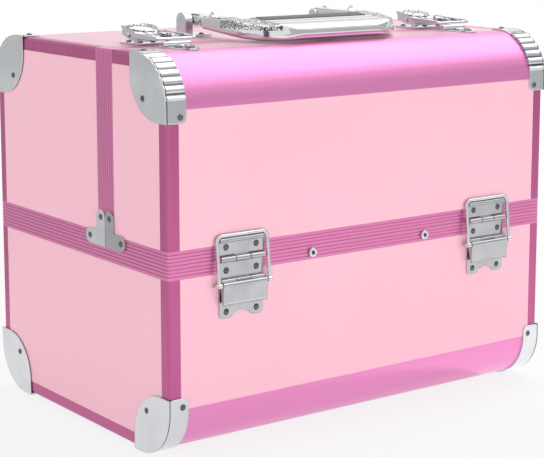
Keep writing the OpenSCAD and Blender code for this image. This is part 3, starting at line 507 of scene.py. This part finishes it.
@dataclass(frozen=True)
class PolishedCasting:
    """Bright nickel on castings: almost a mirror, faintly wavy, with dark lines of painted shade in its
    scrollwork recesses and along the grip's bead lines.

    Attributes:
        colour: The bright metal.
        shade: The slightly darker metal of the clouds.
        painted_recess_shade: The painted shade in the recesses.
        cloud_scale: The clouds' scale.
        roughness: The least roughness.
        roughness_change: How much rougher the clouds are.
        waves: The faint waviness.
        shoulder: How far from the middle the handle's ornate shoulders start.
        arms: The place from front to rear where they end.
        upper: The height above which they are ornate.
        latches: How far from the middle the top latches start, which are ornate all over.
        scroll: The scale of the scrollwork's cells.
        line: The width of the painted shade lines between them, as a share of a cell.
        grip_low: The height above which the grip carries its bead lines.
        bead_lines: The place and half width of each bead line of painted shade on the grip.
    """

    colour: Colour = linear(228, 229, 231)
    shade: Colour = linear(212, 214, 217)
    painted_recess_shade: Colour = PAINTED_SHADE
    cloud_scale: float = 70.0
    roughness: float = 0.07
    roughness_change: float = 0.08
    waves: Relief = Relief(depth=0.00025, strength=0.25)
    shoulder: float = 0.0475
    arms: float = -0.030
    upper: float = 0.2722
    latches: float = 0.1
    scroll: float = 560.0
    line: float = 0.10
    grip_low: float = 0.268
    bead_lines: tuple[tuple[float, float], ...] = ((-0.0620, 0.0009), (-0.0715, 0.0013))

    def make(self) -> bpy.types.Material:
        """Builds the material.

        Returns:
            The material.
        """
        s = Shader("polished_casting")
        where = s.place()
        cloud = s.noise(where, self.cloud_scale)
        x, y, z = s.axes(where)
        arm = (abs(x) > self.shoulder) * (y < self.arms) * (z > self.upper)
        ornate = (arm + (abs(x) > self.latches)).clamped()
        beads = sum((abs(y - place) < half for place, half in self.bead_lines), 0.0)
        grip = (abs(x) < self.shoulder) * (z > self.grip_low) * beads
        # Painted shade: dark lines between the scrollwork's cells and along the grip's bead lines.
        recess_shade_mask = (ornate * (s.cells(where, self.scroll) < self.line) + grip).clamped()
        return s.finish(
            Base_Color=s.mix(recess_shade_mask, s.mix(cloud, self.colour, self.shade), self.painted_recess_shade), Metallic=1.0,
            Roughness=self.roughness + self.roughness_change * cloud, Normal=s.bump(cloud, self.waves))


@dataclass(frozen=True)
class ZincPlate:
    """Dull zinc plate of the tray links."""

    colour: Colour = linear(186, 188, 192)
    shade: Colour = linear(160, 163, 168)
    spangle_scale: float = 140.0
    roughness: float = 0.28
    roughness_change: float = 0.2
    spangle: Relief = Relief(depth=0.00004, strength=0.3, edge=0.0004)

    def make(self) -> bpy.types.Material:
        """Builds the material.

        Returns:
            The material.
        """
        s = Shader("zinc_plate")
        cloud = s.noise(s.place(), self.spangle_scale, detail=4.0)
        return s.finish(
            Base_Color=s.mix(cloud, self.colour, self.shade), Metallic=1.0,
            Roughness=self.roughness + self.roughness_change * cloud, Normal=s.bump(cloud, self.spangle))


@dataclass(frozen=True)
class FoamLining:
    """Soft black foam lining with a flocked nap."""

    colour: Colour = linear(34, 34, 36)
    shade: Colour = linear(62, 61, 64)
    nap_scale: float = 2600.0
    nap_share: float = 0.6
    cloud_scale: float = 30.0
    cloud_share: float = 0.4
    roughness: float = 0.92
    nap: Relief = Relief(depth=0.0002, strength=0.6)
    sheen: float = 0.35
    sheen_roughness: float = 0.5

    def make(self) -> bpy.types.Material:
        """Builds the material.

        Returns:
            The material.
        """
        s = Shader("foam_lining")
        nap = s.noise(s.place(), self.nap_scale, detail=3.0, roughness=0.7)
        cloud = s.noise(s.place(), self.cloud_scale, detail=3.0)
        share = (self.nap_share * nap + self.cloud_share * cloud).clamped()
        return s.finish(
            Base_Color=s.mix(share, self.colour, self.shade), Roughness=self.roughness,
            Normal=s.bump(nap, self.nap), Sheen_Weight=self.sheen, Sheen_Roughness=self.sheen_roughness)


@dataclass(frozen=True)
class MouldedTray:
    """Black moulded plastic with a fine spark texture."""

    colour: Colour = linear(38, 38, 41)
    shade: Colour = linear(46, 46, 50)
    grain_scale: float = 1800.0
    cloud_scale: float = 24.0
    roughness: float = 0.38
    roughness_change: float = 0.16
    grain: Relief = Relief(depth=0.00006, strength=0.35, edge=0.0006)

    def make(self) -> bpy.types.Material:
        """Builds the material.

        Returns:
            The material.
        """
        s = Shader("moulded_tray")
        grain = s.noise(s.place(), self.grain_scale)
        cloud = s.noise(s.place(), self.cloud_scale)
        return s.finish(
            Base_Color=s.mix(cloud, self.colour, self.shade),
            Roughness=self.roughness + self.roughness_change * grain, Normal=s.bump(grain, self.grain))


@dataclass(frozen=True)
class GripRubber:
    """Dark grey rubber strip let into the grip, with fine lengthwise ribs."""

    colour: Colour = linear(74, 77, 80)
    shade: Colour = linear(96, 98, 101)
    cloud_scale: float = 90.0
    roughness: float = 0.5
    roughness_change: float = 0.2
    rib_scale: float = 1500.0
    rib_stretch: tuple[float, float, float] = (0.02, 1.0, 1.0)
    ribs: Relief = Relief(depth=0.00008, strength=0.4, edge=0.0003)

    def make(self) -> bpy.types.Material:
        """Builds the material.

        Returns:
            The material.
        """
        s = Shader("grip_rubber")
        cloud = s.noise(s.place(), self.cloud_scale, detail=3.0)
        ribs = s.noise(s.place(self.rib_stretch), self.rib_scale, detail=1.0)
        return s.finish(
            Base_Color=s.mix(cloud, self.colour, self.shade),
            Roughness=self.roughness + self.roughness_change * cloud, Normal=s.bump(ribs, self.ribs))


class Dresser:
    """Gives each CAD node its finish."""

    LATCH_ENDINGS = ("lever", "latch_base_plates", "hook_plates", "braces")

    def __init__(self) -> None:
        """Makes each material once."""
        self.pressing = CornerPressing().make()
        self.lining = FoamLining().make()
        self.plate = BrightPlate("bright_plate").make()
        # Painted shade: the front latch gets a darker copy of the bright plate.
        self.latch = BrightPlate(
            "latch_plate_shaded", linear(196, 197, 199), linear(164, 165, 168), roughness=0.16,
            edge=0.0005).make()
        rivet = BrightPlate(
            "rivet_steel", linear(122, 123, 126), linear(86, 87, 90), roughness=0.14,
            edge=0.0008).make()
        self.finishes = {
            ("panel", "panels"): Laminate().make(),
            ("band", "bands"): AnodisedAluminium(Run.ALONG_X, Tone.BAND).make(),
            ("edge_rails",): AnodisedAluminium(Run.ALONG_Z, Tone.SHADED_POST).make(),
            ("rails",): AnodisedAluminium(Run.ALONG_X, Tone.RAIL).make(),
            ("protectors",): self.pressing,
            ("rivets",): rivet,
            ("lining",): self.lining,
            ("inlay",): GripRubber().make(),
            ("tray",): MouldedTray().make(),
            ("arms", "pivot_plates"): ZincPlate().make()}

    def finish_of(self, node: str) -> bpy.types.Material:
        """Chooses a node's finish by its name.

        Args:
            node: The node's name.

        Returns:
            The finish of the first ending that fits, or bright plate.
        """
        if node.startswith("front_") and node.endswith(self.LATCH_ENDINGS):
            return self.latch
        fitting = (finish for endings, finish in self.finishes.items() if node.endswith(endings))
        return next(fitting, self.plate)

    def dress(self) -> None:
        """Dresses every node."""
        for name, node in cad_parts.items():
            if not node.material_slots:
                node.data.materials.append(None)
            for slot in node.material_slots:
                slot.material = self.finish_of(name)
            log.info("dressed %s in %s", name, node.material_slots[0].material.name)


class Bench:
    """Shared steps for shaping a piece with Blender's own tools."""

    MERGE = 0.000005

    @staticmethod
    def clear() -> None:
        """Deselects every object."""
        bpy.ops.object.select_all(action="DESELECT")

    @staticmethod
    def hold(piece: bpy.types.Object) -> None:
        """Makes a piece the only selected and active one.

        Args:
            piece: The piece.
        """
        Bench.clear()
        piece.select_set(True)
        bpy.context.view_layer.objects.active = piece

    @staticmethod
    def add(name: str, data: bpy.types.ID) -> bpy.types.Object:
        """Puts a new object into the scene.

        Args:
            name: Its name.
            data: The mesh, lamp or camera that it shows.

        Returns:
            The object.
        """
        made = bpy.data.objects.new(name, data)
        bpy.context.scene.collection.objects.link(made)
        return made

    @staticmethod
    @contextmanager
    def editing() -> Iterator[None]:
        """Opens the active piece in edit mode, all of it selected, and closes it afterwards.

        Yields:
            Nothing.
        """
        bpy.ops.object.mode_set(mode="EDIT")
        bpy.ops.mesh.select_all(action="SELECT")
        yield
        bpy.ops.object.mode_set(mode="OBJECT")

    @staticmethod
    def modify(piece: bpy.types.Object, kind: str, **settings: object) -> None:
        """Adds a modifier and applies it.

        Args:
            piece: The piece.
            kind: The modifier's type.
            settings: The modifier's settings.
        """
        Bench.hold(piece)
        bpy.ops.object.modifier_add(type=kind)
        made = piece.modifiers[-1]
        for key, value in settings.items():
            setattr(made, key, value)
        bpy.ops.object.modifier_apply(modifier=made.name)

    @staticmethod
    def settle(piece: bpy.types.Object) -> None:
        """Moves a piece's place into its mesh and makes its faces point outwards.

        Args:
            piece: The piece.
        """
        Bench.hold(piece)
        bpy.ops.object.transform_apply(location=True, rotation=True, scale=True)
        with Bench.editing():
            bpy.ops.mesh.remove_doubles(threshold=Bench.MERGE)
            bpy.ops.mesh.normals_make_consistent(inside=False)

    @staticmethod
    def finish(piece: bpy.types.Object, body: str, material: bpy.types.Material) -> None:
        """Dresses a piece and lets it ride on a body.

        Args:
            piece: The piece.
            body: The body's name.
            material: The finish.
        """
        piece.data.materials.clear()
        piece.data.materials.append(material)
        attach(piece, body)
        log.info("built %s on %s", piece.name, body)


@dataclass(frozen=True)
class Casting:
    """A casting with soft edges, taken from a CAD solid that it replaces.

    Attributes:
        node: The CAD node.
        body: The body it rides on.
        cell: The remeshing size in metres.
        passes: How often the surface is smoothed.
        factor: How far each pass goes, from 0 to 1.
    """

    node: str
    body: str
    cell: float = 0.0009
    passes: int = 30
    factor: float = 0.5

    def build(self, material: bpy.types.Material) -> bpy.types.Object:
        """Builds the casting.

        Args:
            material: The finish.

        Returns:
            The finished piece.
        """
        piece = Bench.add(f"cast_{self.node}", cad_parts[self.node].data.copy())
        Bench.settle(piece)
        Bench.modify(piece, "REMESH", mode="VOXEL", voxel_size=self.cell)
        Bench.modify(piece, "SMOOTH", factor=self.factor, iterations=self.passes)
        self.engrave(piece)
        Bench.hold(piece)
        bpy.ops.object.shade_smooth()
        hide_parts(self.node)
        Bench.finish(piece, self.body, material)
        return piece

    def engrave(self, piece: bpy.types.Object) -> None:
        """Leaves the surface plain."""


@dataclass(frozen=True)
class HandleCasting(Casting):
    """The handle's bow, with raised scrollwork on the shoulders beside the grip.

    Attributes:
        shoulder_in: How far from the middle the scrollwork starts.
        scroll_front: The scrollwork's front end.
        scroll_rear: Its rear end.
        low_margin: The plain height above the bow's underside.
        fade_across: The width over which it fades in from the side.
        fade_along: The length over which it fades at its ends.
        fade_up: The height over which it fades in from below.
        relief: Its height in metres.
        level: The part of the pattern that stays at the surface.
        cell_size: The pattern's size in metres.
        cell_weights: The weights of the nearest and the second cell.
    """

    shoulder_in: float = 0.047
    scroll_front: float = -0.098
    scroll_rear: float = -0.030
    low_margin: float = 0.006
    fade_across: float = 0.003
    fade_along: float = 0.006
    fade_up: float = 0.003
    relief: float = 0.0024
    level: float = 0.55
    cell_size: float = 0.0046
    cell_weights: tuple[float, float] = (1.0, -0.6)

    def engrave(self, piece: bpy.types.Object) -> None:
        """Raises the scrollwork with a cell pattern inside a soft-edged patch on each shoulder.

        Args:
            piece: The smoothed casting.
        """
        group = piece.vertex_groups.new(name="scrolls")
        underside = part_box(self.node)[0].z
        middle = (self.scroll_front + self.scroll_rear) / 2
        reach = (self.scroll_rear - self.scroll_front) / 2
        for vertex in piece.data.vertices:
            x, y, z = vertex.co
            weight = clamp((abs(x) - self.shoulder_in) / self.fade_across)
            weight *= clamp((reach - abs(y - middle)) / self.fade_along)
            weight *= clamp((z - underside - self.low_margin) / self.fade_up)
            if weight > 0:
                group.add([vertex.index], weight, "REPLACE")
        pattern = bpy.data.textures.new("scrollwork", "VORONOI")
        pattern.noise_scale = self.cell_size
        pattern.distance_metric = "DISTANCE"
        pattern.weight_1, pattern.weight_2 = self.cell_weights
        Bench.modify(piece, "DISPLACE", texture=pattern, texture_coords="LOCAL",
                     strength=self.relief, mid_level=self.level, vertex_group="scrolls")
        piece.vertex_groups.clear()


@dataclass(frozen=True)
class Ring:
    """One step of a pressed relief: how far it goes in and how far it then rises, in metres."""

    inward: float
    rise: float


@dataclass(frozen=True)
class Medallion:
    """A pressed ornamental plate with a round border and raised rings.

    Attributes:
        name: The piece's name.
        body: The body it rides on.
        centre: The middle of its underside.
        half: Half its width and half its length.
        narrow: The share of its width that the front end keeps.
        tilt: How far its rear end is raised, in degrees.
        thick: Its height at the rim.
        rings: The relief from the rim inwards.
        square: How much fuller than an ellipse its outline is.
        corners: The number of points round its outline.
        bevel: The width of its softened edges.
        bevel_steps: The number of faces across such an edge.
    """

    name: str
    body: str
    centre: Place
    half: tuple[float, float]
    narrow: float
    tilt: float
    thick: float
    rings: tuple[Ring, ...]
    square: float = 0.16
    corners: int = 56
    bevel: float = 0.00018
    bevel_steps: int = 2

    def shape_outline(self, piece: bpy.types.Object) -> None:
        """Turns the ellipse into a fuller outline with a narrow front.

        Args:
            piece: The flat plate.
        """
        half_width, half_length = self.half
        for vertex in piece.data.vertices:
            across = abs(vertex.co.x) / half_width
            vertex.co.y *= 1.0 + self.square * math.sin(math.pi * min(1.0, across))
            front = clamp(0.5 - vertex.co.y / half_length / 2)
            vertex.co.x *= 1.0 - (1.0 - self.narrow) * front * front

    def build(self, material: bpy.types.Material) -> bpy.types.Object:
        """Builds the plate.

        Args:
            material: The finish.

        Returns:
            The finished piece.
        """
        Bench.clear()
        bpy.ops.mesh.primitive_circle_add(vertices=self.corners, radius=1.0, fill_type="NGON")
        piece = bpy.context.object
        piece.name = self.name
        with Bench.editing():
            bpy.ops.transform.resize(value=(*self.half, 1.0), center_override=(0.0, 0.0, 0.0))
        self.shape_outline(piece)
        with Bench.editing():
            bpy.ops.mesh.extrude_region_move(
                TRANSFORM_OT_translate={"value": (0.0, 0.0, self.thick)})
            for ring in self.rings:
                bpy.ops.mesh.inset(thickness=ring.inward, depth=ring.rise, use_even_offset=False)
        Bench.modify(piece, "BEVEL", width=self.bevel, segments=self.bevel_steps, limit_method="ANGLE")
        Bench.modify(piece, "SUBSURF", levels=1, render_levels=1)
        piece.rotation_euler = (math.radians(self.tilt), 0.0, 0.0)
        piece.location = self.centre
        Bench.settle(piece)
        bpy.ops.object.shade_smooth()
        Bench.finish(piece, self.body, material)
        return piece


@dataclass(frozen=True)
class TopLatchOrnaments:
    """The pressed ornaments on the two top latches: on the keeper, the draw bail and the lever.

    Attributes:
        across: How far each latch lies from the case's middle.
        wall: The place of the case's front wall.
        top: The height of the top rail.
        draw_tilt: The draw bail's slope, in degrees.
        thumb_tilt: The lever's slope, in degrees.
        border: The relief of the plates.
        boss: The relief of the bosses.
    """

    across: float = 0.123
    wall: float = FRONT_WALL
    top: float = 0.2637
    draw_tilt: float = 7.5
    thumb_tilt: float = 13.8
    border: tuple[Ring, ...] = (
        Ring(0.0011, 0.0006), Ring(0.0010, -0.0008), Ring(0.0016, 0.0005), Ring(0.0014, 0.0006))
    boss: tuple[Ring, ...] = (
        Ring(0.0007, 0.0006), Ring(0.0008, 0.0002), Ring(0.0006, -0.0007), Ring(0.0006, 0.0006))

    def plates(self, side: int) -> list[Medallion]:
        """Lists the plates of one latch.

        Args:
            side: -1 for the left latch, 1 for the right one.

        Returns:
            The plates.
        """
        hand = "left" if side < 0 else "right"

        def centre(behind: float, above: float) -> Place:
            """Places a plate by its distance behind the front wall and above the top rail."""
            return side * self.across, self.wall + behind, self.top + above

        return [
            Medallion(
                f"draw_plate_{hand}", f"top_{hand}_bail", centre(0.0686, 0.0059),
                half=(0.0128, 0.0094), narrow=0.66, tilt=self.draw_tilt, thick=0.0010,
                rings=self.border),
            Medallion(
                f"draw_boss_{hand}", f"top_{hand}_bail", centre(0.0670, 0.0074),
                half=(0.0045, 0.0062), narrow=0.8, tilt=self.draw_tilt, thick=0.0016,
                rings=self.boss),
            Medallion(
                f"thumb_plate_{hand}", f"top_{hand}_lever", centre(0.0946, 0.0100),
                half=(0.0118, 0.0082), narrow=0.85, tilt=self.thumb_tilt, thick=0.0008,
                rings=self.border),
            Medallion(
                f"keeper_boss_{hand}", "front_cover", centre(0.0440, 0.0011),
                half=(0.0050, 0.0050), narrow=0.8, tilt=0.0, thick=0.0008, rings=self.boss),
        ]

    def build(self, material: bpy.types.Material) -> None:
        """Builds the plates of both latches.

        Args:
            material: The finish.
        """
        for side in (-1, 1):
            for plate in self.plates(side):
                plate.build(material)


@dataclass(frozen=True)
class RimEyelets:
    """The two bright eyelets on the base's front rim rail, each with a dark disc in its hole as painted
    shade.

    Attributes:
        across: Where they lie from left to right.
        front: The place of the rail's front.
        sunk: How far they reach into the rail.
        height: Their height above the floor.
        outer: The rings' radius.
        hole_shade: The dark discs' radius.
        proud: How far the rings stand out.
        hole_shade_proud: How much further the dark discs stand out.
        ring_relief: The relief of the rings.
        hole_shade_relief: The relief of the dark discs.
    """

    across: tuple[float, float] = (-0.050, 0.050)
    front: float = FRONT_WALL
    sunk: float = 0.0002
    height: float = 0.1255
    outer: float = 0.0033
    hole_shade: float = 0.0012
    proud: float = 0.0014
    hole_shade_proud: float = 0.0006
    ring_relief: tuple[Ring, ...] = (Ring(0.0005, 0.0005), Ring(0.0012, 0.0), Ring(0.0002, -0.0004))
    hole_shade_relief: tuple[Ring, ...] = (Ring(0.0003, 0.0002),)

    def build(self, bright: bpy.types.Material, dark: bpy.types.Material) -> None:
        """Builds both eyelets.

        Args:
            bright: The finish of the rings.
            dark: The finish of the dark discs, painted shade in the holes.
        """
        for hand, x in zip(("left", "right"), self.across):
            # The second disc is dark: painted shade standing in for the eyelet's hole.
            for part, radius, thick, relief, material in (
                    ("eyelet", self.outer, self.proud, self.ring_relief, bright),
                    ("eyelet_hole_shade", self.hole_shade, self.proud + self.hole_shade_proud, self.hole_shade_relief, dark)):
                Medallion(
                    f"{part}_{hand}", "base", (x, self.front - self.sunk, self.height),
                    half=(radius, radius), narrow=1.0, tilt=90.0, thick=thick, rings=relief,
                    square=0.0).build(material)


@dataclass(frozen=True)
class Card:
    """A glowing card that only the metal's reflections show.

    Attributes:
        name: Its name.
        place: Its middle.
        size: Its width and height in metres.
        level: Its brightness, where 1 is white.
        flat: Whether it lies level instead of facing the case.
    """

    name: str
    place: Place
    size: tuple[float, float]
    level: float
    flat: bool = False


CARDS = (
    Card("floor_near", (0.32, -0.45, 0.004), (2.6, 0.80), 1.20, True),
    Card("floor_far", (1.02, -1.38, 0.004), (3.4, 1.3), 0.58, True),
    Card("floor_left", (-0.45, 0.60, 0.004), (2.0, 0.62), 0.70, True),
    Card("floor_left_far", (-0.95, 1.30, 0.004), (2.4, 1.12), 0.66, True),
    Card("ceiling", (1.2, 0.30, 1.5), (2.3, 2.3), 2.35, True),
    Card("ceiling_front", (1.3, -1.20, 1.5), (2.3, 0.7), 1.5, True),
    Card("wall_front", (1.38, -1.86, 0.50), (3.8, 1.0), 0.58),
    Card("wall_left", (-1.35, 1.83, 0.45), (2.6, 1.0), 0.62),
    Card("flag_corner", (-1.00, -0.72, 0.40), (0.26, 1.3), 0.10),
    Card("flag_left", (-1.15, -0.20, 1.40), (1.1, 0.26), 0.03),
    Card("flag_rear", (-0.30, 1.50, 1.28), (1.8, 0.24), 0.04),
    Card("flag_right", (1.75, -0.60, 0.80), (1.6, 0.14), 0.04),
    Card("flag_grip", (1.12, -1.25, 1.10), (2.6, 0.08), 0.02),
    Card("flag_inlay", (1.05, 1.05, 1.15), (1.8, 0.12), 0.02),
    Card("flag_high", (-0.30, 0.05, 1.60), (0.9, 0.16), 0.05))


@dataclass(frozen=True)
class Lamp:
    """A soft lamp that faces the case.

    Attributes:
        name: Its name.
        place: Its middle.
        size: Its width and height in metres.
        power: Its power in watts.
    """

    name: str
    place: Place
    size: tuple[float, float]
    power: float


LAMPS = (
    Lamp("key", (0.9, -1.9, 1.5), (1.6, 1.6), 5.5),
    Lamp("overhead", (1.0, 0.55, 1.75), (1.9, 0.9), 21.0),
    Lamp("low_front", (-0.1, -1.5, 0.08), (1.4, 0.14), 10.0),
    Lamp("low_left", (-1.5, 0.0, 0.08), (1.0, 0.14), 7.5))


@dataclass(frozen=True)
class Studio:
    """The camera, a level world, a pale floor, reflection cards and soft lamps.

    Attributes:
        camera_place: Where the camera stands.
        azimuth: The side it looks from, in degrees.
        elevation: How far it looks down, in degrees.
        sensor: The sensor's width in millimetres.
        focal_pixels: The lens, in the photograph's pixels.
        shift_pixels: The upright shift, in the photograph's pixels.
        clip: The nearest and furthest distance that it sees.
        level: The world's light on the case.
        floor_size: The floor's side.
        floor_colour: The paint that keeps the shadow.
        fade: The distances from the case between which the floor turns white.
        near_white: The share of white on the floor beside the case.
        card_turn: How far the level cards are turned, in radians.
        card_aim: The point that the other cards face.
        lamp_aim: The point that the lamps face.
    """

    camera_place: Place = (-0.70651, -0.96510, 0.35845)
    azimuth: float = -36.2
    elevation: float = 9.152
    sensor: float = 36.0
    focal_pixels: float = 1628.06
    shift_pixels: float = -64.0
    clip: tuple[float, float] = (0.05, 60.0)
    level: float = 0.50
    floor_size: float = 12.0
    floor_colour: Colour = (0.9, 0.9, 0.9)
    fade: tuple[float, float] = (0.35, 1.1)
    near_white: float = 0.82
    card_turn: float = 0.63
    card_aim: Place = (0.0, 0.0, 0.2)
    lamp_aim: Place = (0.0, 0.0, 0.14)

    def build(self) -> None:
        """Builds the whole studio."""
        self.build_camera()
        self.build_world()
        self.build_floor()
        self.build_cards()
        self.build_lamps()
        bpy.context.scene.view_settings.view_transform = "Standard"

    @staticmethod
    def facing(place: Place, aim: Place, front: str) -> Quaternion:
        """Gives the turn that points an object's front axis from its place at its aim."""
        return (Vector(aim) - Vector(place)).to_track_quat(front, "Y")

    @staticmethod
    def turn(thing: bpy.types.Object, rotation: Quaternion) -> None:
        """Turns an object."""
        thing.rotation_mode = "QUATERNION"
        thing.rotation_quaternion = rotation

    @staticmethod
    def lay_plane(name: str, size: float, place: Place) -> bpy.types.Object:
        """Lays a square plane.

        Args:
            name: Its name.
            size: Its side.
            place: Its middle.

        Returns:
            The plane.
        """
        Bench.clear()
        bpy.ops.mesh.primitive_plane_add(size=size, location=place)
        plane = bpy.context.object
        plane.name = name
        return plane

    def build_camera(self) -> None:
        """Puts the camera where the photograph was taken from."""
        data = bpy.data.cameras.new("camera")
        camera = Bench.add("camera", data)
        bpy.context.scene.camera = camera
        azimuth, elevation = math.radians(self.azimuth), math.radians(self.elevation)
        back = Vector((math.sin(azimuth) * math.cos(elevation),
                       -math.cos(azimuth) * math.cos(elevation), math.sin(elevation)))
        camera.location = self.camera_place
        self.turn(camera, (-back).to_track_quat("-Z", "Y"))
        data.sensor_width = self.sensor
        data.lens = data.sensor_width * self.focal_pixels / IMAGE_WIDTH
        data.shift_y = self.shift_pixels / IMAGE_WIDTH
        data.clip_start, data.clip_end = self.clip

    def build_world(self) -> None:
        """Makes a world that is white to look at and lights the case at a plain level."""
        world = bpy.data.worlds.new("studio")
        bpy.context.scene.world = world
        world.use_nodes = True
        nodes = Nodes(world.node_tree)
        light = nodes.node("ShaderNodeBackground", Color=WHITE, Strength=self.level)
        white = nodes.node("ShaderNodeBackground", Color=WHITE, Strength=1.0)
        nodes.show(nodes.blend(nodes.seen(), light, white), "ShaderNodeOutputWorld")

    def build_floor(self) -> None:
        """Makes the pale floor, which keeps the case's shadow."""
        floor = self.lay_plane("floor", self.floor_size, (0.0, 0.0, 0.0))
        paint = Paint("floor")
        distance = paint.signal(
            paint.node("ShaderNodeVectorMath", {"operation": "LENGTH"}, i0=paint.coordinates()), "Value")
        whiteness = paint.signal(
            paint.node("ShaderNodeMapRange", Value=distance, From_Min=self.fade[0],
                       From_Max=self.fade[1], To_Min=self.near_white, To_Max=1.0), "Result")
        paint.show(paint.blend(
            paint.seen() * whiteness, paint.node("ShaderNodeBsdfDiffuse", Color=self.floor_colour),
            paint.node("ShaderNodeEmission", Color=WHITE, Strength=1.0)))
        floor.data.materials.append(paint.material)

    def build_cards(self) -> None:
        """Stands glowing and dark cards round the case, which only show in its metal."""
        for card in CARDS:
            sheet = self.lay_plane(card.name, 1.0, card.place)
            sheet.scale = (*card.size, 1.0)
            level = Quaternion((0.0, 0.0, 1.0), self.card_turn)
            self.turn(sheet, level if card.flat else self.facing(card.place, self.card_aim, "Z"))
            sheet.visible_camera = sheet.visible_diffuse = False
            sheet.visible_shadow = sheet.visible_transmission = False
            glow = Paint(card.name)
            glow.show(glow.signal(glow.node("ShaderNodeEmission", Color=WHITE, Strength=card.level)))
            sheet.data.materials.append(glow.material)

    def build_lamps(self) -> None:
        """Hangs the lamps: one to the front right, one overhead and two low ones by the floor."""
        for lamp in LAMPS:
            data = bpy.data.lights.new(lamp.name, "AREA")
            data.shape = "RECTANGLE"
            data.size, data.size_y = lamp.size
            data.energy = lamp.power
            made = Bench.add(lamp.name, data)
            made.visible_glossy = False
            made.location = lamp.place
            self.turn(made, self.facing(lamp.place, self.lamp_aim, "-Z"))


def main() -> None:
    """Builds the looks in order."""
    logging.basicConfig(level=logging.INFO, format="%(message)s")
    Studio().build()
    dresser = Dresser()
    dresser.dress()
    polished = PolishedCasting().make()
    HandleCasting("handle", "handle").build(polished)
    TopLatchOrnaments().build(polished)
    RimEyelets().build(dresser.pressing, dresser.lining)


if __name__ == "__main__":
    main()
